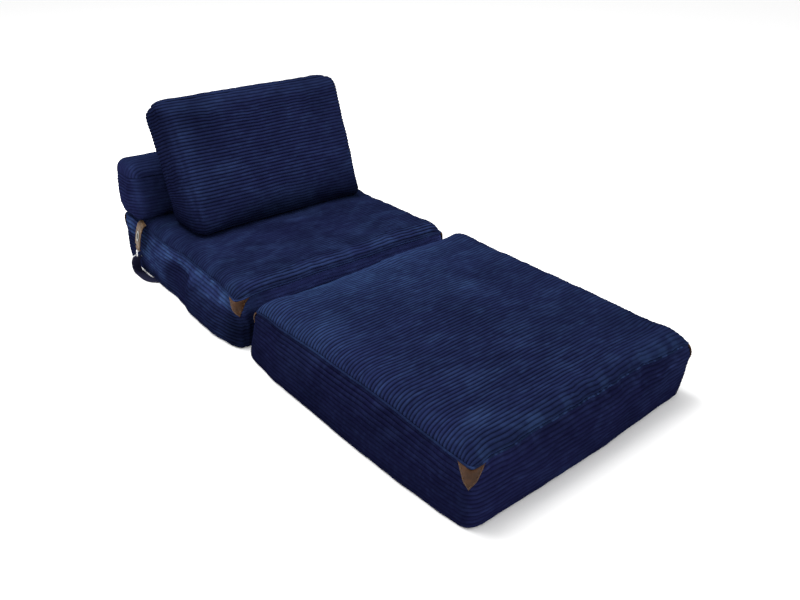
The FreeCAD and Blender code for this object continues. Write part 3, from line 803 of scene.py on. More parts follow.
        V = np.stack([X, Y, Z], -1)
        # a little unevenness, so that the cloth buckles like sewn fabric
        V = V + 0.7 * np.stack([noise(V[:, 0] / 31, V[:, 1] / 31 + V[:, 2] / 40, 11),
                                noise(V[:, 0] / 29, V[:, 1] / 33 + V[:, 2] / 37, 12),
                                noise(V[:, 0] / 27, V[:, 1] / 30 - V[:, 2] / 33, 13)], -1)
        seam = np.where(top & (edge | (on_x != 0) | (on_y != 0)))[0]
        hold = [(np.where(low)[0], 1.0)] if pin_base else []
        D = run_cloth(self.name + "_cloth", V, faces, hold, seam, pressure, loose, gather, stiff, cap)
        # the overall swelling is held back, and the folds are kept
        table = {}
        top_grid = np.zeros((ny + 1, nx + 1, 3))
        low_grid = np.zeros((ny + 1, nx + 1, 3))
        for v, (a, b2, c) in enumerate(place):
            if c == nz:
                top_grid[b2, a] = D[v]
            if c == 0:
                low_grid[b2, a] = D[v]
        ring = [(a, 0) for a in range(nx)] + [(nx, b2) for b2 in range(ny)] + [(a, ny) for a in range(nx, 0, -1)] \
            + [(0, b2) for b2 in range(ny, 0, -1)]
        band = np.zeros((nz + 1, len(ring), 3))
        for c in range(nz + 1):
            for n, (a, b2) in enumerate(ring):
                band[c, n] = D[index[(a, b2, c)]]
        mean = top_grid[:, :, 2].mean()
        top_grid[:, :, 2] -= mean * (1 - keep_low) * soft_step(np.minimum(
            np.minimum(np.arange(nx + 1), nx - np.arange(nx + 1))[None, :],
            np.minimum(np.arange(ny + 1), ny - np.arange(ny + 1))[:, None]), 7)
        self.sim = {"nx": nx, "ny": ny, "nz": nz, "top": top_grid, "low": low_grid, "band": band}
        print("cloth", self.name, len(V), "vertices, moved up to", round(float(np.linalg.norm(D, axis=1).max()), 1),
              "mm, mean", round(float(np.linalg.norm(D, axis=1).mean()), 1))

    # -- fine pieces --
    def seam_path(self, top=True, step=5.0, corner=10, lift=0.0, out=0.0):
        side, frac = self.columns(step, corner)
        prof, s = self.rows()
        at = np.array([s[-1] if top else 0.0])
        P, C, W = self.band_points(at, side, frac)
        X, Y, NX, NY, C = self.outline(np.array([[self.w1 if top else self.w0]]), side[None, :], frac[None, :])
        P = P[0] + np.stack([NX[0] * out, NY[0] * out, 0 * NX[0] + lift], -1)
        return self.shape(self.place(P)), C[0]

    def band(self, name, material, step=9.0, amp=2.5, mask=None, seed=3, from_s=0.0, pinch=2.4, waver=1.6, corner=9):
        prof, s = self.rows()
        s_rows, v = ribs_on(s[-1] - from_s, self.rib)
        s_rows = s_rows + from_s
        side, frac = self.columns(step, corner)
        P, C, W = self.band_points(s_rows, side, frac)
        per = 2 * ((np.ptp(P[..., 0])) + np.ptp(P[..., 1]))
        q = C / 4.0 * per
        nlat = 32
        # ribs wander a little
        fade = (soft_step(s_rows - s_rows[0], 25) * soft_step(s_rows[-1] - s_rows, 25))[:, None]
        wob = waver * noise(C / 4.0 * nlat, v[:, None] / 9.0, seed, nlat) * fade
        w_shift = s_rows[:, None] + wob
        # resample the rows at the shifted arc lengths
        idx = np.interp(w_shift.ravel(), s_rows, np.arange(len(s_rows))).reshape(w_shift.shape)
        i0 = np.clip(np.floor(idx).astype(int), 0, len(s_rows) - 2)
        t = (idx - i0)[..., None]
        cols = np.arange(P.shape[1])[None, :]
        P = P[i0, cols] * (1 - t) + P[i0 + 1, cols] * t
        P = self.shape(self.place(P))
        N = grid_normals(P, wrap=True)
        d_seam = (s_rows[-1] - s_rows)[:, None]
        fine = 32 * 6
        h = 0.9 * self.ripple * noise(C / 4.0 * fine, v[:, None] / 3.0, seed + 5, fine) * bump1(d_seam, 55.0)
        h = h - pinch * np.exp(-d_seam / 6.0)
        a = amp * (0.86 + 0.22 * noise(C / 4.0 * fine * 1.0, np.floor(v)[:, None] * 0.9, seed + 9, fine))
        if mask is not None:
            a = a * mask(q, C, s_rows[:, None])
        self.skin = (P + N * h[..., None], N, s_rows, C)
        P = P + N * (h + a * rib_profile(v)[:, None] * (1 - 0.5 * np.exp(-d_seam / 4.0)))[..., None]
        U = q * 0.001
        Vc = v[:, None] + 0 * q
        self.grids = getattr(self, "grids", {})
        self.grids["band"] = (P, s_rows, C, q)
        c0, c1 = P[0].mean(0), P[-1].mean(0)
        return closed_tube(name, P, U, Vc, material, lo=c0 + (0, 0, 1.0), hi=c1 - (0, 0, 6.0))

    def panel(self, name, material, step=9.0, amp=2.6, top=True, seed=5, waver=2.2, pinch=2.2, edge_fade=5.0):
        w = self.w1 if top else self.w0
        x0, x1, y0, y1, r = [float(np.asarray(v).reshape(-1)[0]) for v in self.ext(np.array([w]))]
        turn = 0.0 if top else self.turn
        x0, x1, y0, y1, r = x0 + turn, x1 - turn, y0 + turn, y1 - turn, max(r - turn, 4.0)
        sign = 1.0 if top else -1.0
        # arc length along the middle of the panel in each direction
        yy = np.linspace(y0, y1, 4001)
        hy = self.top_point(0.5 * (x0 + x1) + 0 * yy, yy, top)
        sy = np.concatenate([[0], np.cumsum(np.hypot(np.diff(yy), np.diff(hy)))])
        xx = np.linspace(x0, x1, 4001)
        hx = self.top_point(xx, 0.5 * (y0 + y1) + 0 * xx, top)
        sx = np.concatenate([[0], np.cumsum(np.hypot(np.diff(xx), np.diff(hx)))])
        s_rows, v = ribs_on(sy[-1], self.rib)
        n = int(round(sx[-1] / step))
        s_cols = np.linspace(0, sx[-1], n + 1)
        e = np.array([0, 1.2, 2.6, 4.5, 7.0])
        s_cols = np.unique(np.concatenate([e, s_cols[(s_cols > 8.5) & (s_cols < sx[-1] - 8.5)], sx[-1] - e]))
        SX, SY = np.meshgrid(s_cols, s_rows)
        fade = soft_step(SY, 40) * soft_step(sy[-1] - SY, 40)
        wob = waver * fbm(SX / 170, SY / 60, seed, 2) * fade
        Y = np.interp(SY + wob, sy, yy)
        X = np.interp(SX, sx, xx)
        Y0r = np.interp(SY, sy, yy)
        dy = np.minimum(Y0r - y0, y1 - Y0r)
        pull = np.where(dy < r, r - np.sqrt(np.maximum(0, r * r - (r - dy) ** 2)), 0)
        hxw = 0.5 * (x1 - x0)
        xc = 0.5 * (x0 + x1)
        H = self.top_point(X, Y, top)
        XX = xc + (X - xc) * (hxw - pull) / hxw
        P = np.stack([XX, Y, w + sign * H], -1)
        if self.sim is not None:
            g = self.sim["top" if top else "low"]
            P = P + bicubic(g, (Y - y0) / (y1 - y0) * self.sim["ny"], (X - x0) / (x1 - x0) * self.sim["nx"])
        P = self.shape(self.place(P))
        N = grid_normals(P) * sign
        dx = np.minimum(SX, sx[-1] - SX)
        dys = np.minimum(SY, sy[-1] - SY)
        d = np.minimum(dx, dys)
        edge_q = np.where(dx < dys, SY, SX)
        h = -pinch * np.exp(-d / 5.0)
        h = h + 1.1 * self.ripple * noise(edge_q / 17.0, d / 40.0 + 5.0 * (dx < dys), seed + 3) * bump1(d - 8, 45.0) * soft_step(d, 10)
        a = amp * (0.88 + 0.20 * noise(SX / 28, np.floor(SY / RIB) * 1.3, seed + 8))
        a = a * (0.35 + 0.65 * soft_step(dx, edge_fade))
        P = P + N * (h + a * rib_profile(v)[:, None])[..., None]
        self.grids = getattr(self, "grids", {})
        self.grids["top" if top else "low"] = (P, SX, SY)
        ob = closed_sheet(name, P, SX * 0.001, v[:, None] + 0 * SX, material, back=6.0, flip=not top)
        return ob


def at_band(c, C_line, s_line, P, s):
    """Where perimeter coordinate c falls among the sorted C_line, as a fractional index, with the sort order; the arc
    length s is not used.
    """
    order = np.argsort(C_line)
    Cs = C_line[order]
    j = np.interp(np.asarray(c) % 4.0, np.concatenate([Cs, [Cs[0] + 4]]), np.arange(len(Cs) + 1))
    return j, order


# ---- modelling that the simulation can't know ---------------------------
def along(P, axis, centre, width):
    return bump1(P[..., axis] - centre, width)


def shape_foot(P):
    P = P.copy()
    x, y, z = P[..., 0].copy(), P[..., 1].copy(), P[..., 2].copy()
    up = smooth((z - 20) / 130)
    # seam lines bow in slightly between the corners
    seam = bump1(z - 154, 34)
    fx = clamp01(1 - (x / 400) ** 2)
    fy = clamp01(1 - ((y + 428) / 430) ** 2)
    P[..., 0] += -np.sign(x) * smooth((np.abs(x) - 300) / 90) * 3.0 * seam * fy
    P[..., 1] += -np.sign(y + 428) * smooth((np.abs(y + 428) - 340) / 80) * 3.0 * seam * fx
    # slow waves in the foam's top
    P[..., 2] += up * (2.4 * fbm(x / 210 + 3, y / 170, 21, 2) + 1.3 * noise(x / 90, y / 60, 22)) * (1 - 0.6 * smooth((x - 200) / 150))
    # drawn-in spots along the front seam
    front = bump1(y + 850, 60) * up
    P[..., 2] += front * 2.2 * noise(x / 38, 0.5 + 0 * x, 23) * smooth((z - 100) / 50)
    P[..., 1] += bump1(y + 856, 40) * 2.5 * noise(x / 46, z / 42, 24) * smooth((z - 8) / 30)
    left = bump1(x + 400, 40)
    P[..., 0] += left * 2.2 * noise(y / 60, z / 60, 25) * smooth((z - 8) / 30)
    right = bump1(x - 400, 40)
    P[..., 0] += right * 2.2 * noise(y / 60, z / 60, 26) * smooth((z - 8) / 30)
    # the front right corner swells over its leather, and the rear edge leans over the fold
    near = bump1(np.hypot(x - 400, y + 856), 95) * bump1(z - 128, 42)
    P[..., 0] += 13 * near
    P[..., 1] -= 10 * near
    P[..., 0] += 14 * bump1(np.hypot(x - 400, y + 856), 120) * bump1(z - 60, 56)
    P[..., 1] -= 5 * bump1(np.hypot(x - 400, y + 856), 120) * bump1(z - 60, 56)
    back = smooth((y + 90) / 90) * smooth((z - 40) / 100)
    P[..., 1] += back * (2 + 28 * smooth((x + 220) / 380))
    P[..., 2] += smooth((y + 160) / 150) * smooth((z - 130) / 30) * smooth((x + 330) / 200) * smooth((340 - x) / 200) * -2.0
    P[..., 2] -= 4 * bump1(x + 230, 150) * smooth((y + 110) / 100) * smooth((z - 130) / 30)
    P[..., 2] += bump1(x - 360, 60) * smooth((y + 860) / 60) * smooth((z - 140) / 30) * 2.5
    P[..., 2] -= 22 * smooth((x - 250) / 150) * smooth((y + 80) / 110) * smooth((z - 110) / 40)
    # short gathers along the front and right seams
    edge = bump1(z - 160, 26)
    P[..., 1] += bump1(y + 850, 50) * edge * 1.8 * noise(x / 15, 0 * x + 2.2, 27) * smooth((x + 250) / 200)
    P[..., 2] += bump1(y + 835, 45) * smooth((z - 120) / 40) * 2.4 * noise(x / 19, y / 60, 28) * smooth((x + 250) / 200)
    return P


def shape_seat(P):
    P = P.copy()
    x, y, z = P[..., 0].copy(), P[..., 1].copy(), P[..., 2].copy()
    up = smooth((z - 20) / 130)
    seam = bump1(z - 152, 34)
    fy = clamp01(1 - ((y - 466) / 386) ** 2)
    P[..., 0] += -np.sign(x) * smooth((np.abs(x) - 300) / 90) * 4.0 * seam * fy
    P[..., 2] += up * (2.2 * fbm(x / 190 + 9, y / 150, 31, 2) + 1.5 * noise(x / 70, y / 50, 32)) \
        * (1 - 0.8 * smooth((y - 690) / 60))
    left = bump1(x + 400, 45)
    P[..., 0] += left * 3.0 * noise(y / 70, z / 70, 35) * smooth((z - 6) / 30)
    # the front left corner is pushed outwards, and a deep fold runs down the left side
    side = smooth((-x - 250) / 150)
    P[..., 0] -= 14 * side * smooth((330 - y) / 260) * smooth((z - 60) / 80)
    dent = smooth((y - 366 + 0.2 * (z - 80)) / 16) * smooth((560 - y) / 120) * smooth((z - 8) / 26) * smooth((140 - z) / 34)
    P[..., 0] += left * (9 * dent - 5 * bump1(y - 345 + 0.2 * (z - 80), 24) * smooth((z - 14) / 40) * smooth((150 - z) / 30))
    P[..., 0] -= left * 4 * bump1(y - 620, 50) * smooth((z - 14) / 40) * smooth((150 - z) / 30)
    P[..., 2] -= 7 * smooth((x - 270) / 130) * smooth((z - 130) / 40) * smooth((620 - y) / 200)
    # wrinkles fan out on the top near the left edge and the pillow
    rim = bump1(x + 385, 60) * smooth((z - 120) / 30)
    P[..., 2] += rim * 1.8 * noise(y / 20, x / 60, 37)
    P[..., 2] += smooth((z - 140) / 30) * 1.5 * noise((x + 0.6 * y) / 34, (y - 0.5 * x) / 90, 38) * (1 - 0.8 * smooth((y - 690) / 60))
    right = bump1(x - 400, 45)
    P[..., 0] += right * 2.6 * noise(y / 60, z / 60, 36) * smooth((z - 6) / 30)
    # the rear left corner is full, and the rear side stays clear of the folded bolster
    corner = smooth((-x - 290) / 90) * smooth((y - 700) / 110)
    P[..., 2] = np.where(z < 184.5, np.minimum(P[..., 2] + 19 * corner * smooth((z - 110) / 45), 184.5), P[..., 2])
    P[..., 0] -= 8 * corner * bump1(z - 150, 60)
    over = np.maximum(P[..., 1] - 849, 0)
    P[..., 1] = np.where(over > 0, 849 + 3.5 * (1 - np.exp(-over / 3.5)), P[..., 1])
    return P


def shape_bolster(P):
    P = P.copy()
    x, y, z = P[..., 0].copy(), P[..., 1].copy(), P[..., 2].copy()
    up = smooth((z - 195) / 60)
    P[..., 2] += up * 1.8 * fbm(x / 130, y / 90, 41, 2)
    P[..., 1] += -2.0 * up * noise(x / 80, z / 50, 42) * (y < 780)
    over = np.maximum(P[..., 1] - 849, 0)
    P[..., 1] = np.where(over > 0, 849 + 3.5 * (1 - np.exp(-over / 3.5)), P[..., 1])
    return P


def shape_pillow(P):
    P = P.copy()
    x, y, z = P[..., 0].copy(), P[..., 1].copy(), P[..., 2].copy()
    up = smooth((z - 200) / 60)
    P[..., 1] += -3.0 * up * fbm(x / 150 + 2, z / 110, 51, 2)
    return P


def lerp_ext(levels):
    """ext(w) from a list of (w, x0, x1, y0, y1, r)."""
    L = np.array(levels, float)

    def ext(w):
        return [np.interp(w, L[:, 0], L[:, k]) for k in range(1, 6)]
    return ext


foot = Cushion("foot", 0.6, 154.0,
               lerp_ext([(0.6, -400, 400, -856, 32.5, 24), (16, -400, 400, -856, 32.5, 24),
                         (110, -400, 400, -856, 8, 20), (154, -399.5, 399.5, -855.5, -4.5, 11)]),
               rise=33, reach=(52, 34, 40, 84), crown=4, square=2.2, bulge=(9, 6, 5, 4), base_turn=10,
               flare=(((0, 13), (0.06, 17), (0.3, 20), (0.55, 21), (0.75, 15), (0.9, 10), (1, 7)),
                      ((0, 7), (0.15, 14), (0.5, 16), (0.85, 13), (1, 6)),
                      ((0, 2), (0.5, 3), (1, 2)),
                      ((0, 12), (0.08, 20), (0.18, 28), (0.3, 28), (0.55, 30), (0.75, 27), (0.88, 21), (1, 13))),
               shape=shape_foot, cell=13.0)
seat = Cushion("seat", 0.6, 152.0,
               lerp_ext([(0.6, -400, 400, 75.5, 851.5, 24), (16, -400, 400, 75.5, 852, 24),
                         (110, -400, 400, 79, 852, 20), (152, -399.5, 399.5, 81.5, 851.5, 11)]),
               rise=29, reach=(46, 40, 44, 70), crown=4, square=2.1, bulge=(4, 6, 4, 7), base_turn=10,
               flare=(((0, 8), (0.5, 4), (1, 4)),
                      ((0, 6), (0.2, 13), (0.5, 15), (0.8, 12), (1, 7)),
                      ((0, 3), (0.5, 4), (1, 3)),
                      ((0, 9), (0.11, 10), (0.18, 13), (0.26, 13), (0.36, 17), (0.47, 16), (0.55, 22), (0.64, 33), (0.74, 36), (0.84, 37),
                       (0.93, 28), (1, 17))),
               shape=shape_seat, cell=13.0)
bolster = Cushion("bolster", 186.2, 334.0,
                  lerp_ext([(186.2, -404, 398, 717, 851, 30), (206, -408, 411, 717, 851.5, 34), (232, -410, 411, 717, 851.5, 36),
                            (300, -415, 412, 717, 851.5, 36), (334, -417, 411, 718, 851, 36)]),
                  rise=44, reach=(60, 46, 54, 40), crown=4, square=2.4, bulge=(6, 6, 2, 6), base_turn=14, shape=shape_bolster,
                  cell=12.0)

P0 = np.array([17.0, 1316.0 - 856.0, 186.0])
PU = np.array([0, math.sin(LEAN), math.cos(LEAN)])
PN = np.array([0, math.cos(LEAN), -math.sin(LEAN)])
PILLOW_T = 156.0
PILLOW_H = 446.0


def place_pillow(P):
    a, n, u = P[..., 0:1], P[..., 1:2], P[..., 2:3]
    # the underside is pressed level by the seat, and the top is square to the front
    g = 1 - smooth(u / 210.0)
    return P0 + a * np.array([1.0, 0, 0]) + n * PN + (u + n * math.tan(LEAN) * g) * PU


def pillow_ext(w):
    w = np.asarray(w, float)
    top, low = np.clip(PILLOW_H - w, 0, None), np.clip(w, 0, None)
    roll = 40 * (1 - quarter(top, 64)) + 14 * (1 - quarter(low, 34))
    rt, rl = 34.0, 30.0
    pull = rt * (1 - quarter(top + 6, rt)) * 0.92 + rl * (1 - quarter(low, rl)) * 0.9
    x = 340 - pull
    r = 32 - 8 * (1 - quarter(np.minimum(top, low), 40))
    return [-x, x + 3 * smooth(w / PILLOW_H) - 13 * (1 - smooth(w / PILLOW_H)) + 5 * np.sin(math.pi * clamp01(w / PILLOW_H)), -2 + roll, PILLOW_T + 2 - roll, r]


pillow = Cushion("pillow", 0.0, PILLOW_H, pillow_ext, rise=13, reach=(40, 42, 40, 42), crown=3, bulge=(9, 5, 5, 6), base_turn=0,
                 place=place_pillow, shape=shape_pillow, cell=12.0, low_rise=0.0)

pillow.rib = 10.9
foot.prepare(4.0, -0.03, 0.02, 14, 9)
seat.prepare(4.0, -0.05, 0.03, 12, 11)
bolster.prepare(4.0, -0.04, 0.03, 14, 8)
pillow.prepare(4.0, -0.05, 0.03, 12, 10, pin_base=False)
if pillow.sim is not None:
    # the fill is tight along the upper edge
    nz_ = pillow.sim["nz"]
    calm = 1 - 0.7 * smooth((np.arange(nz_ + 1) / nz_ - 0.78) / 0.2)
    pillow.sim["band"] *= calm[:, None, None]
    pillow.sim["top"] *= 0.3
if bolster.sim is not None:
    nz_ = bolster.sim["nz"]
    calm = 1 - 0.5 * smooth((np.arange(nz_ + 1) / nz_ - 0.7) / 0.25)
    bolster.sim["band"] *= calm[:, None, None]
    bolster.sim["top"] *= 0.5

def keep_soft(ob, body, replaces=()):
    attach(ob, body)
    if replaces:
        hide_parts(*replaces)
    return ob


class Skin:
    """Points on a cushion's finished side: signed distance q (mm) along the perimeter, and arc length s."""

    def __init__(self, cushion):
        P, N, s_rows, C = cushion.skin
        order = np.argsort(C[0] % 4.0)
        self.P, self.N, self.s = P[:, order], N[:, order], s_rows
        self.C = (C[0] % 4.0)[order]
        self.n = len(order)
        ext = [float(np.asarray(v).reshape(-1)[0]) for v in cushion.ext(np.array([cushion.w1]))]
        self.lx, self.ly = ext[1] - ext[0], ext[3] - ext[2]

    def c_of(self, corner, q):
        """Perimeter coordinate at distance q (mm) past a corner 0..3."""
        q = np.asarray(q, float)
        after = self.lx if corner % 2 == 0 else self.ly
        before = self.ly if corner % 2 == 0 else self.lx
        return (corner + np.where(q >= 0, q / after, q / before)) % 4.0

    def at(self, c, s, off=0.0):
        c, s = np.broadcast_arrays(np.asarray(c, float) % 4.0, np.asarray(s, float))
        Cx = np.concatenate([[self.C[-1] - 4], self.C, [self.C[0] + 4]])
        fj = np.interp(c, Cx, np.arange(-1, self.n + 1))
        fi = np.interp(s, self.s, np.arange(len(self.s)))
        i = np.clip(np.floor(fi).astype(int), 0, len(self.s) - 2)
        j = np.floor(fj).astype(int)
        a, b = (fi - i)[..., None], (fj - j)[..., None]
        j0, j1 = j % self.n, (j + 1) % self.n
        P = (self.P[i, j0] * (1 - b) + self.P[i, j1] * b) * (1 - a) + (self.P[i + 1, j0] * (1 - b) + self.P[i + 1, j1] * b) * a
        N = (self.N[i, j0] * (1 - b) + self.N[i, j1] * b) * (1 - a) + (self.N[i + 1, j0] * (1 - b) + self.N[i + 1, j1] * b) * a
        N /= np.maximum(np.linalg.norm(N, axis=-1, keepdims=True), 1e-9)
        return P + N * np.asarray(off)[..., None], N


def slab_of(name, front, N, thick, material, U=None, Vc=None, smooth_faces=True):
    """A grid of front points given a thickness behind it, closed round its rim."""
    nr, nc = front.shape[:2]
    back = front - N * thick
    verts = np.vstack([front.reshape(-1, 3), back.reshape(-1, 3)])
    m = nr * nc
    faces = grid_faces(nr, nc, False) + grid_faces(nr, nc, False, base=m, flip=True)
    ring = [j for j in range(nc)] + [i * nc + nc - 1 for i in range(1, nr)]
    ring += [(nr - 1) * nc + j for j in range(nc - 2, -1, -1)] + [i * nc for i in range(nr - 2, 0, -1)]
    for k in range(len(ring)):
        a, b = ring[k], ring[(k + 1) % len(ring)]
        faces.append([b, a, a + m, b + m])
    if U is None:
        U, Vc = np.meshgrid(np.arange(nc) * 0.01, np.arange(nr) * 0.01)
    uv = np.stack([U, Vc], -1).reshape(-1, 2)
    return mesh_from(name, verts, faces, material, np.vstack([uv, uv]), smooth_faces)


def no_ribs_near(c_mid, half_c, s_mid, half_s):
    """Mask that presses the ribs flat under a zip."""
    def mask(q, C, s):
        dc = np.abs((C - c_mid + 2.0) % 4.0 - 2.0)
        inside = smooth((half_c + 0.02 - dc) / 0.02) * smooth((half_s + 4 - np.abs(s - s_mid)) / 5.0)
        return 1 - 0.92 * inside
    return mask


ZIP = {"foot": (2.5, 0.39, 44.0), "seat": (2.5, 0.39, 44.0), "bolster": (2.5, 0.372, 70.0)}
s_low = 6.0


def zip_mask(name):
    c, h, s = ZIP[name]
    return no_ribs_near(c, h, s, 12.0)


# the ribs are worn low on the seat's front
def seat_mask():
    under_zip = zip_mask("seat")

    def mask(q, C, s):
        return under_zip(q, C, s) * (1 - 0.55 * smooth((0.5 - np.abs((C % 4.0) - 0.5)) / 0.06))
    return mask


keep_soft(foot.band("foot_band", M_CORD, seed=61, mask=zip_mask("foot")), "foot",
          ("foot_side_band", "foot_foam_block"))
keep_soft(foot.panel("foot_top", M_CORD, seed=65), "foot", ("foot_top_panel",))
keep_soft(seat.band("seat_band", M_CORD, seed=71, mask=seat_mask(), pinch=1.2), "seat",
          ("seat_side_band", "seat_foam_block"))
keep_soft(seat.panel("seat_top", M_CORD, seed=75, pinch=1.0), "seat", ("seat_top_panel",))
keep_soft(bolster.band("bolster_band", M_CORD, seed=81, mask=zip_mask("bolster"), pinch=0.0), "bolster",
          ("bolster_side_band", "bolster_foam_block", "bolster_base_panel"))
keep_soft(bolster.panel("bolster_top", M_CORD, seed=85, pinch=0.0, edge_fade=2.0), "bolster", ("bolster_top_panel",))
keep_soft(pillow.band("pillow_wrap", M_CORD, seed=91, pinch=0.0), "pillow",
          ("pillow_front_panel", "pillow_back_panel", "pillow_fill"))
keep_soft(pillow.panel("pillow_top", M_CORD, seed=95, pinch=0.0, edge_fade=2.0), "pillow", ("pillow_side_band",))

def blob(x, y, cx, cy, rx, ry=None):
    return np.exp(-((x - cx) / rx) ** 2 - ((y - cy) / (ry or rx)) ** 2)


# Painted light on the foot's top: a painted pool of light over the middle and the rear left, a little more light along
# the front, and painted shade at the front right; the second channel is brushed nap with a speckled lighter line along
# the front seam; the colour shift follows the painted light.
def look_foot_top(x, y, z, no):
    painted_light = 0.60 + 0.42 * blob(x, y, -60, 0, 330, 180) + 0.12 * blob(x, y, -380, -60, 200, 160) + 0.15 * blob(x, y, -400, -420, 260, 420) + 0.06 * bump1(y + 800, 90)
    painted_light = painted_light * (1 + 0.10 * fbm(x / 120, y / 90, 211, 3)) * (1 - 0.20 * blob(x, y, 350, -740, 120, 110))
    nap_and_highlight = 0.30 * smooth(fbm(x / 70 + 5, y / 38, 212, 3) - 0.1) + 0.60 * bump1(y + 846, 22) * smooth(noise(x / 17, 0 * x, 213) * 2 - 0.2)
    nap_and_highlight = nap_and_highlight + 0.20 * blob(x, y, -100, -20, 330, 70)
    flat = 0.10 + 0.35 * smooth((x + 50) / 400) + 0.25 * bump1(y + 850, 60) + 0.25 * smooth(fbm(x / 60, y / 40, 214, 2) - 0.2)
    return painted_light, clamp01(nap_and_highlight), clamp01(flat), 0.98 + 0.30 * blob(x, y, -120, -20, 400, 220)


# Painted light on the foot's sides: each side is as dark as the light that falls on it, the left side darkest, with
# painted light near the front left corner; speckled painted highlights along the top edge and on puckered cloth low on
# the front; the colour shift is fixed for the shaded sides.
def look_foot_band(x, y, z, no):
    painted_light = facing(no, 0.27, 0.42, 0.50, 0.42, 0.6) * (1 + 0.35 * blob(x, y, -400, -856, 200, 200))
    painted_light = painted_light * (1 + 0.12 * fbm((x + y) / 90, z / 50, 221, 3))
    nap_and_highlight = 0.5 * bump1(z - 150, 14) * smooth(noise((x + y) / 15, 0 * x, 222) * 2.2 - 0.4)
    nap_and_highlight = nap_and_highlight + 0.25 * smooth(fbm(x / 60, z / 40, 223, 3) - 0.3)
    # painted highlights on puckered cloth low on the front
    pucker_highlights = blob(x, z, 285, 126, 85, 22) * smooth(-no[:, 1] * 2) * smooth(noise((x + 0.5 * z) / 13, z / 16, 225) * 2)
    nap_and_highlight = nap_and_highlight + 0.7 * pucker_highlights
    painted_light = painted_light * (1 + 0.45 * pucker_highlights)
    return painted_light, clamp01(nap_and_highlight), clamp01(0.50 + 0.15 * noise((x + y) / 120, z / 80, 224)), 0.60 + 0 * x


# Painted light on the seat's top: painted shade in front of the pillow, painted light on the roll of the front edge,
# and a colour shift that drops in the painted shade; the second channel is brushed nap.
def look_seat_top(x, y, z, no):
    painted_light = 0.50 * (1 + 0.16 * fbm(x / 100 + 3, y / 80, 231, 3)) * (1 - 0.12 * blob(x, y, -20, 330, 180, 150))
    painted_light = painted_light * (1 + 0.75 * smooth((136 - y) / 44) * smooth((x + 400) / 60))
    nap_and_highlight = 0.40 * smooth(fbm(x / 55 + 2, y / 34, 232, 3) - 0.05)
    return painted_light, clamp01(nap_and_highlight), clamp01(0.52 + 0.35 * smooth(fbm(x / 70, y / 45, 233, 2)) - 0.2 * smooth((x - 100) / 200) - 0.28 * smooth((270 - y) / 150)), \
        0.98 - 0.22 * blob(x, y, -20, 330, 220, 180)


# Painted light on the seat's sides: each side as dark as the light on it, painted light on the upper roll of the front,
# painted light (lit) on the left side with a painted shadow (shade) in the fold down it, painted shade near the gap to
# the foot, and painted highlights with the brushed nap only where the painted light falls; the colour shift follows.
def look_seat_band(x, y, z, no):
    front = smooth((-no[:, 1] - 0.3) / 0.4)
    painted_light = facing(no, 0.50, 0.42, 0.90, 0.42, 0.5) * (1 + 1.15 * front * smooth((z - 106) / 16) * smooth((x + 350) / 110))
    # lit is where painted light falls on the left side; shade is the painted shadow in the fold
    lit = smooth((z - 96) / 34) + 0.8 * smooth((y - 520) / 50) * smooth((760 - y) / 60) * smooth((z - 20) / 50)
    lit = lit + 0.15 * smooth((340 - y) / 90) * smooth((y - 90) / 60) * smooth((z - 40) / 60)
    shade = smooth((y - 358 + 0.2 * (z - 80)) / 14) * smooth((545 - y) / 60) * smooth((132 - z) / 18)
    at_left = smooth((-x - 300) / 60)
    painted_light = painted_light * (1 + at_left * (1.08 * clamp01(lit) - 0.15) * (1 - shade)) * (1 - 0.24 * shade * at_left)
    painted_light = painted_light * (1 - 0.45 * at_left * smooth((150 - y) / 80) * smooth((110 - z) / 50))
    painted_light = painted_light * (1 - 0.28 * at_left * smooth((160 - y) / 60))
    painted_light = painted_light * (1 + 0.14 * fbm((x + y) / 60, z / 40, 241, 3))
    nap_and_highlight = 0.75 * at_left * (1 - shade) * (1 - 0.7 * smooth((160 - y) / 60)) * smooth(fbm(y / 40, z / 26, 242, 3) + 0.2) * clamp01(0.3 + lit)
    painted_hue = 0.85 + 0.25 * at_left * clamp01(lit) * (1 - shade) - 0.05 * front - 0.15 * shade * at_left
    return painted_light, clamp01(nap_and_highlight), clamp01(0.35 + 0.2 * noise((x + y) / 90, z / 60, 243) + 0.4 * front), painted_hue


# Painted light on the bolster: each side as dark as the light on it, a painted shadow on the front beside the pillow, a
# painted highlight line down the front left corner, painted sheen in the second channel on upward faces, and a colour
# shift by side.
def look_bolster(x, y, z, no):
    painted_light = facing(no, 0.57, 0.42, 0.66, 0.42, 0.41)
    front = smooth((-no[:, 1] - 0.4) / 0.4)
    painted_light = painted_light * (1 - 0.28 * front * smooth((x + 385) / 60) * smooth((370 - z) / 60))
    painted_light = painted_light * (1 + 0.26 * bump1(x + 399, 12) * smooth(front * 2) * smooth((z - 215) / 60))
    painted_light = painted_light * (1 + 0.10 * fbm((x + y) / 80, z / 50, 251, 3))
    nap_and_highlight = 0.22 * smooth(no[:, 2]) + 0.22 * bump1(x + 399, 12) * smooth(front * 2) * smooth((z - 215) / 60)
    return painted_light, clamp01(nap_and_highlight), clamp01(0.40 + 0.35 * front), facing(no, 0.62, 0.8, 0.84, 0.8, 0.92)


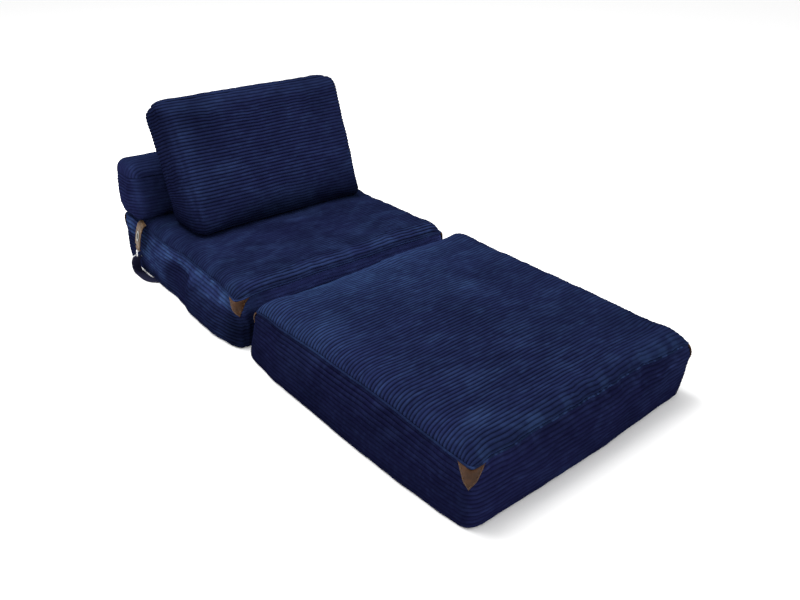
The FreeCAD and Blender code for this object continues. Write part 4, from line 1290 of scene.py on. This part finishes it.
# Painted light on the pillow: each side as dark as the light on it, a painted contact shadow over the lower part (low),
# a lighter painted band high on the front, darker towards the top edge, the sides and the upper left, painted sheen on
# upward faces; the second channel also has a brushed patch high on the left; flattened pile grows in the painted
# shadow; the colour shift is set by side.
def look_pillow(x, y, z, no):
    t = facing(no, 0.365, 0.42, 0.88, 0.45, 0.46)
    low = smooth((330 - z) / 130) * smooth((x + 270) / 200)
    t = t * (1 - 0.57 * low) * (1 + 0.10 * fbm(x / 80, z / 60, 261, 3))
    t = t * (1 + 0.13 * bump1(z - 400, 110)) * (1 - 0.14 * smooth((z - 480) / 70)) * (1 - 0.48 * smooth((268 - z) / 66))
    t = t * (1 - 0.11 * smooth((np.abs(x - 10) - 110) / 110)) * (1 - 0.15 * blob(x, z, -200, 500, 120, 80))
    nap_and_highlight = 0.45 * blob(x, z, -285, 470, 45, 130) + 0.35 * smooth((z - 545) / 25) * smooth(no[:, 2] * 2) + 0.25 * smooth(fbm(x / 60, z / 40, 262, 3) - 0.25)
    return t, clamp01(nap_and_highlight), clamp01(0.12 + 0.4 * low + 0.2 * smooth((x - 100) / 250) + 0.42 * smooth((330 - z) / 110)), facing(no, 0.70, 0.8, 0.88, 0.8, 0.80)


P_ = bpy.data.objects
paint(P_["foot_top"], look_foot_top)
paint(P_["foot_band"], look_foot_band)
paint(P_["seat_top"], look_seat_top)
paint(P_["seat_band"], look_seat_band)
paint(P_["bolster_top"], look_bolster)
paint(P_["bolster_band"], look_bolster)
paint(P_["pillow_top"], look_pillow)
paint(P_["pillow_wrap"], look_pillow)


SKIN = {c.name: Skin(c) for c in (foot, seat, bolster, pillow)}


# ---- seams ---------------------------------------------------------------
def seam_ridge(cushion, body, rx=3.3, rz=2.7, lift=0.5, out=1.4):
    P, C = cushion.seam_path(True, 4.0, 10, lift=lift, out=out)
    # stitches pull the ridge in at short steps
    n = len(P)
    P = P + 0.35 * np.sin(np.arange(n) * 2.1)[:, None] * np.array([0, 0, 1.0])
    ob = sweep(cushion.name + "_top_seam", P, M_CORD_SEAM, ring_section(rx, rz, 10))
    # painted light on the seam ridge: half light, with painted highlights along the seat's front seam and speckled
    # along the foot's front seam
    paint(ob, lambda x, y, z, no: (0.50 + 0.10 * noise((x + y) / 30, 0 * x, 301) + 0.45 * bump1(y - 80, 26) + 0.45 * bump1(y + 858, 22) * smooth(noise(x / 8, 0 * x, 302) * 2), 0.2 + 0.4 * bump1(y + 858, 22) * smooth(noise(x / 8, 0 * x, 302) * 2), 0.5 + 0 * x))
    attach(ob, body)
    return ob


seam_ridge(foot, "foot")
seam_ridge(seat, "seat")


# ---- base linings --------------------------------------------------------
def lining(cushion, body, node):
    x0, x1, y0, y1, r = [float(np.asarray(v).reshape(-1)[0]) for v in cushion.ext(np.array([cushion.w0]))]
    t = 7.0
    nx, ny = 74, 80
    a = np.linspace(-1, 1, nx)
    b = np.linspace(-1, 1, ny)
    A, B = np.meshgrid(a, b)
    X = 0.5 * (x0 + x1) + A * (0.5 * (x1 - x0) - t)
    Y = 0.5 * (y0 + y1) + B * (0.5 * (y1 - y0) - t)
    d = np.minimum(np.minimum(X - x0 - t, x1 - t - X), np.minimum(Y - y0 - t, y1 - t - Y))
    q = np.where(np.minimum(X - x0, x1 - X) < np.minimum(Y - y0, y1 - Y), Y, X)
    Z = 0.25 + 0.9 * (0.5 + 0.5 * noise(q / 16.0, d / 90.0, 88)) * bump1(d, 45.0) + 0.5 * (0.5 + 0.5 * noise(X / 60, Y / 60, 89))
    P = cushion.shape(np.stack([X, Y, Z], -1))
    P[..., 2] = np.maximum(P[..., 2], 0.1)
    N = np.zeros_like(P)
    N[..., 2] = -1.0
    # the front of the grid faces the floor
    ob = slab_of(cushion.name + "_lining", P[::-1], N[::-1], 1.6, M_LINING)
    return keep_soft(ob, body, (node,))


lining(foot, "foot", "foot_base_panel")
lining(seat, "seat", "seat_base_panel")


# ---- fabric hinges -------------------------------------------------------
def strip(name, section, half, material, thick, puck=0.5):
    """A cloth strip across x: section is a list of (y, z) from one side to the other."""
    sec = np.array(section, float)
    t = np.concatenate([[0], np.cumsum(np.hypot(*np.diff(sec, axis=0).T))])
    tt = np.linspace(0, t[-1], 22)
    y, z = np.interp(tt, t, sec[:, 0]), np.interp(tt, t, sec[:, 1])
    for _ in range(3):
        y[1:-1] = 0.25 * y[:-2] + 0.5 * y[1:-1] + 0.25 * y[2:]
        z[1:-1] = 0.25 * z[:-2] + 0.5 * z[1:-1] + 0.25 * z[2:]
    x = np.linspace(-half, half, 120)
    X, T = np.meshgrid(x, tt)
    Y = np.interp(T, tt, y) + puck * noise(X / 24, T / 40, 97)
    Z = np.interp(T, tt, z) + puck * (0.5 + 0.5 * noise(X / 18, T / 30, 98)) * np.sin(math.pi * T / tt[-1])
    P = np.stack([X, Y, Z], -1)
    N = grid_normals(P)
    ob = slab_of(name, P, N, thick, material, X * 0.001, T / RIB)
    return ob


hinge = strip("fold_hinge", [(27, 2.4), (34, 1.6), (46, 1.7), (54, 2.0), (62, 1.7), (73, 1.6), (81, 2.4)], 352, M_LINING, 1.1)
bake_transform(hinge)
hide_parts("fold_hinge_foot_side", "fold_hinge_seat_side")

bh = strip("bolster_hinge", [(855.0, 160), (858.0, 166), (859.2, 174), (860.0, 183), (860.6, 190), (860.2, 198), (858.5, 209),
                             (856, 219)], 334, M_CORD, 1.6)
# painted shade: the hinge strip in the fold is drawn as dark as the shaded sides
paint(bh, lambda x, y, z, no: (0.38 + 0.05 * noise(x / 50, z / 20, 311), 0 * x, 0.5 + 0 * x, 0.8 + 0 * x))
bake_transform(bh)
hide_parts("bolster_hinge_seat_side", "bolster_hinge_bolster_side")


# ---- zips ----------------------------------------------------------------
def zip_on(name, body, c_mid, s_mid, length, skin, slider_at=0.5):
    """Two tapes and two rows of teeth on a cushion's side; c_mid is the middle of the run."""
    side = skin.lx
    L = length
    n = int(L / 6)
    dc = np.linspace(-0.5, 0.5, n) * L / side
    tapes, rows = [], []
    for k in (-1, 1):
        a = np.linspace(1.0, 12.0, 5) * k
        S, Cc = np.meshgrid(s_mid + a, c_mid + dc, indexing="ij")
        lift = 1.9 + 0.35 * noise(Cc * side / 21.0, S / 9.0, 77)
        P, N = skin.at(Cc, S, lift)
        if k < 0:
            P, N, S, Cc = P[::-1], N[::-1], S[::-1], Cc[::-1]
        G = grid_normals(P)
        if (G * N).sum(-1).mean() < 0:
            P, N = P[:, ::-1], N[:, ::-1]
        tapes.append(slab_of("t", P, N, 1.1, M_TAPE))
    keep = joined(name + "_zip_tape", tapes)
    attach(keep, body)
    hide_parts(name + "_zip_tapes")
    # teeth: short bars across the middle, alternately from each tape
    pitch = 2.6
    m = int(L / pitch)
    dc = (np.arange(m) - m / 2) * pitch / side
    P, N = skin.at(c_mid + dc, s_mid + 0 * dc, 2.6)
    P2, _ = skin.at(c_mid + dc, s_mid + 1.0 + 0 * dc, 2.6)
    up = P2 - P
    up /= np.linalg.norm(up, axis=1, keepdims=True)
    al = np.cross(up, N)
    k = np.where(np.arange(m) % 2 == 0, 1.0, -1.0)[:, None]
    c = P + up * k * 0.9
    hx, hu, hn = 0.85, 1.7, 0.9
    corners = [(-1, -1, -1), (1, -1, -1), (1, 1, -1), (-1, 1, -1), (-1, -1, 1), (1, -1, 1), (1, 1, 1), (-1, 1, 1)]
    V = np.stack([c + al * hx * a + up * hu * b + N * hn * (g if g < 0 else 0.8 * g) for a, b, g in corners], 1).reshape(-1, 3)
    quad = [(0, 3, 2, 1), (4, 5, 6, 7), (0, 1, 5, 4), (1, 2, 6, 5), (2, 3, 7, 6), (3, 0, 4, 7)]
    faces = [[8 * i + q for q in f] for i in range(m) for f in quad]
    teeth = mesh_from(name + "_zip_tooth_rows", V, faces, M_TEETH, None, False)
    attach(teeth, body)
    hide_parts(name + "_zip_teeth")


zip_on("foot", "foot", ZIP["foot"][0], ZIP["foot"][2], 620, SKIN["foot"])
zip_on("seat", "seat", ZIP["seat"][0], ZIP["seat"][2], 620, SKIN["seat"])
zip_on("bolster", "bolster", ZIP["bolster"][0], ZIP["bolster"][2], 600, SKIN["bolster"])
zip_on("pillow", "pillow", 2.5, 96.0, 440, SKIN["pillow"])


def slider(name, skin, c_mid, s_mid, length):
    """Zip slider: a waisted body with a bridge and a hanging pull, at the run's closed end."""
    at = c_mid + 0.5 * (length - 14) / skin.lx
    P, N = skin.at(np.array([at]), np.array([s_mid]), np.array([5.5]))
    P2, _ = skin.at(np.array([at]), np.array([s_mid + 2.0]), np.array([5.5]))
    P, N, up = P[0], N[0], P2[0] - P[0]
    up /= np.linalg.norm(up)
    al = np.cross(up, N)

    def box(c, h, taper=1.0):
        pts = []
        for g in (-1, 1):
            for a, b in ((-1, -1), (1, -1), (1, 1), (-1, 1)):
                k = taper if a > 0 else 1.0
                pts.append(P + al * (c[0] + a * h[0]) + up * (c[1] + b * h[1] * k) + N * (c[2] + g * h[2]))
        f = [[3, 2, 1, 0], [4, 5, 6, 7], [0, 1, 5, 4], [1, 2, 6, 5], [2, 3, 7, 6], [3, 0, 4, 7]]
        return mesh_from("b", pts, f, M_ZIP, None, False)
    parts = [box((0, 0, 0), (5.5, 4.6, 0.9), 0.7), box((0, 0, 2.2), (3.6, 0.9, 1.4)), box((2.6, -9.0, 1.6), (2.3, 9.0, 0.5))]
    ob = joined(name + "_zip_pull", parts, M_ZIP)
    for p in ob.data.polygons:
        p.use_smooth = False
    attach(ob, name + "_zip_slider")
    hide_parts(name + "_zip_slider")


slider("foot", SKIN["foot"], ZIP["foot"][0], ZIP["foot"][2], 620)
slider("seat", SKIN["seat"], ZIP["seat"][0], ZIP["seat"][2], 620)
slider("bolster", SKIN["bolster"], ZIP["bolster"][0], ZIP["bolster"][2], 600)
slider("pillow", SKIN["pillow"], 2.5, 96.0, 440)


# ---- leather corner caps -------------------------------------------------
def cap(name, cushion, corner, legs=(56.0, 56.0), drop=54.0):
    """A triangle of leather folded over a corner just under the top seam, with a stitched border."""
    skin = SKIN[cushion.name]
    s_top = skin.s[-1]
    nq, nd = 45, 17
    a = np.linspace(-1, 1, nq)          # across the corner
    b = np.linspace(0, 1, nd)           # down the corner
    A, B = np.meshgrid(a, b)
    d_low = drop * (1 - np.abs(A) ** 0.80)
    d_top = 0.5 + 3.5 * (1 - np.abs(A) ** 0.7)
    D = d_top + (np.maximum(d_low, d_top + 0.8) - d_top) * B
    Q = A * np.where(A < 0, legs[0], legs[1])
    leg = 0.5 * (legs[0] + legs[1])
    edge = np.minimum(np.minimum(B, 1 - B) * np.maximum(d_low - d_top, 1.0), (1 - np.abs(A)) * leg)
    off = 4.4 + 1.3 * soft_step(edge, 3.0) + 2.2 * np.exp(-np.abs(Q) / 5.0) * soft_step(edge, 6.0) - 2.4 * np.exp(-(Q / 2.2) ** 2) * soft_step(edge, 6.0) + 0.5 * noise(Q / 14.0, D / 14.0, 71 + corner)
    P, N = skin.at(skin.c_of(corner, Q), s_top - D, off)
    for _ in range(2):
        P[1:-1, 1:-1] = 0.5 * P[1:-1, 1:-1] + 0.125 * (P[:-2, 1:-1] + P[2:, 1:-1] + P[1:-1, :-2] + P[1:-1, 2:])
    G = grid_normals(P)
    if (G * N).sum(-1).mean() < 0:
        P, N, Q, D = P[:, ::-1], N[:, ::-1], Q[:, ::-1], D[:, ::-1]
        G = grid_normals(P)
    leather_piece = slab_of("cap", P, G, 2.4, M_PATCH, Q * 0.001, D * 0.001)
    # stitches along both lower edges, 4 mm in
    marks = []
    run = np.linspace(-0.80, 0.80, 21)
    for j in range(len(run) - 1):
        if j % 2:
            continue
        aa = np.array([run[j], run[j + 1]])
        dd = np.maximum(drop * (1 - np.abs(aa) ** 0.80) - 6.5, 6.0)
        Pj, Nj = skin.at(skin.c_of(corner, aa * np.where(aa < 0, legs[0], legs[1])), s_top - dd, np.array([6.2, 6.2]))
        path = np.array([Pj[0] - Nj[0] * 0.8, Pj[0] + (Pj[1] - Pj[0]) * 0.2 + Nj[0] * 0.35, Pj[0] + (Pj[1] - Pj[0]) * 0.8 + Nj[1] * 0.35,
                         Pj[1] - Nj[1] * 0.8])
        marks.append(sweep("st", path, M_STITCH, ring_section(0.6, 0.6, 6), closed=False, normals=np.repeat(Nj[:1], 4, 0)))
    stitches = joined(name + "_stitches", marks, M_STITCH)
    leather_piece.name = name
    return leather_piece, stitches


LEGS = {"foot": ((56, 56), (14, 62), (56, 56), (62, 11)), "seat": ((54, 54), (16, 62), (56, 56), (62, 14))}
for cushion, body in ((foot, "foot"), (seat, "seat")):
    whole, thread = [], []
    for corner, word in enumerate(("front_left", "front_right", "rear_right", "rear_left")):
        a, b = cap("%s_cap_%s" % (cushion.name, word), cushion, corner, LEGS[cushion.name][corner])
        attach(a, body)
        whole.append(a)
        thread.append(b)
    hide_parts(cushion.name + "_corner_patches")
    t = joined(cushion.name + "_cap_stitching", thread, M_STITCH)
    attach(t, body)


# ---- straps --------------------------------------------------------------
def softened(name, node, material, voxel, rounds=6, lump=0.25):
    """A soft copy of a CAD strap: remeshed fine, its edges worn round and its face uneven."""
    src = bpy.data.objects[node]
    me = src.data.copy()
    me.transform(src.matrix_world)
    ob = bpy.data.objects.new(name, me)
    bpy.context.scene.collection.objects.link(ob)
    m = ob.modifiers.new("remesh", "REMESH")
    m.mode = "VOXEL"
    m.voxel_size = voxel
    w = ob.modifiers.new("smooth", "SMOOTH")
    w.factor, w.iterations = 0.5, rounds
    ev = ob.evaluated_get(bpy.context.evaluated_depsgraph_get())
    fresh = bpy.data.meshes.new_from_object(ev)
    ob.modifiers.clear()
    ob.data = fresh
    bpy.data.meshes.remove(me)
    co = np.empty(len(fresh.vertices) * 3)
    fresh.vertices.foreach_get("co", co)
    co = co.reshape(-1, 3)
    no = np.array([v.normal for v in fresh.vertices]).reshape(-1, 3)
    mm = co * 1000
    co = co + no * (lump * 0.001 * fbm(mm[:, 1] / 9.0 + mm[:, 0] / 13.0, mm[:, 2] / 9.0, 93, 2))[:, None]
    fresh.vertices.foreach_set("co", co.ravel())
    fresh.polygons.foreach_set("use_smooth", [True] * len(fresh.polygons))
    fresh.materials.clear()
    fresh.materials.append(material)
    fresh.update()
    return ob


for side, sx in (("left", 1.0), ("right", -1.0)):
    tab = softened(side + "_leather_tab", side + "_strap_tab", M_STRAP, 0.0009, 4, 0.3)
    tab_co = np.empty(len(tab.data.vertices) * 3)
    tab.data.vertices.foreach_get("co", tab_co)
    tab_co = tab_co.reshape(-1, 3)
    dy = tab_co[:, 1] - 0.5 * (tab_co[:, 1].min() + tab_co[:, 1].max())
    tab_co[:, 1] += np.where(dy > 0, 0.0085, -0.0060) * smooth((np.abs(dy) - 0.011) / 0.008)
    tab.data.vertices.foreach_set("co", tab_co.ravel())
    tab.data.update()
    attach(tab, "seat")
    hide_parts(side + "_strap_tab")
    web = softened(side + "_woven_strap", side + "_webbing", M_WEB, 0.0007, 2, 0.15)
    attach(web, "seat")
    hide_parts(side + "_webbing")

for ob in bpy.data.objects:
    if ob.name.startswith(("left_", "right_")) and any(w in ob.name for w in ("hook", "d_ring", "eyelet")):
        if ob.type == "MESH":
            if len(ob.material_slots) == 0:
                ob.data.materials.append(M_STEEL)
            for slot_ in ob.material_slots:
                slot_.material = M_EYELET if "eyelet" in ob.name else M_STEEL


# ---- camera, light, floor ------------------------------------------------
def make_camera():
    a, e, roll = math.radians(-40.71), math.radians(28.55), math.radians(1.0885)
    fwd = Vector((-math.sin(a) * math.cos(e), math.cos(a) * math.cos(e), -math.sin(e)))
    right = fwd.cross(Vector((0, 0, 1))).normalized()
    up = right.cross(fwd)
    r2 = right * math.cos(roll) + up * math.sin(roll)
    u2 = -right * math.sin(roll) + up * math.cos(roll)
    m = Matrix((( r2.x, u2.x, -fwd.x, -1.3271), (r2.y, u2.y, -fwd.y, -1.6997), (r2.z, u2.z, -fwd.z, 1.2314), (0, 0, 0, 1)))
    cd = bpy.data.cameras.new("camera")
    cd.sensor_width = 36.0
    cd.lens = 787.4 * 36.0 / 800.0
    cd.clip_start, cd.clip_end = 0.05, 60
    cam = bpy.data.objects.new("camera", cd)
    cam.matrix_world = m
    bpy.context.scene.collection.objects.link(cam)
    bpy.context.scene.camera = cam


def area(name, loc, target, size, power, colour=(1, 1, 1)):
    ld = bpy.data.lights.new(name, "AREA")
    ld.shape = "RECTANGLE"
    ld.size, ld.size_y = size
    ld.energy = power
    ld.color = colour
    ob = bpy.data.objects.new(name, ld)
    ob.location = loc
    ob.rotation_euler = (Vector(target) - Vector(loc)).to_track_quat("-Z", "Y").to_euler()
    bpy.context.scene.collection.objects.link(ob)


WORLD, KEY = 1.0, 190


def studio():
    me = bpy.data.meshes.new("floor")
    s, z = 14.0, -0.0012
    me.from_pydata([(-s, -s, z), (s, -s, z), (s, s, z), (-s, s, z)], [], [[0, 1, 2, 3]])
    floor = bpy.data.objects.new("floor", me)
    bpy.context.scene.collection.objects.link(floor)
    k = Nodes("floor_white")
    k.set("Base Color", (0.93, 0.93, 0.93, 1))
    k.set("Roughness", 0.9)
    k.set("Specular IOR Level", 0.1)
    me.materials.append(k.m)
    w = bpy.data.worlds.new("studio")
    bpy.context.scene.world = w
    w.use_nodes = True
    bg = w.node_tree.nodes["Background"]
    bg.inputs[0].default_value = (1, 1, 1, 1)
    bg.inputs[1].default_value = WORLD
    area("key", (-0.6, 1.4, 3.6), (0, 0.0, 0.1), (2.6, 2.6), KEY)
    bpy.context.scene.view_settings.view_transform = "Standard"


make_camera()
studio()
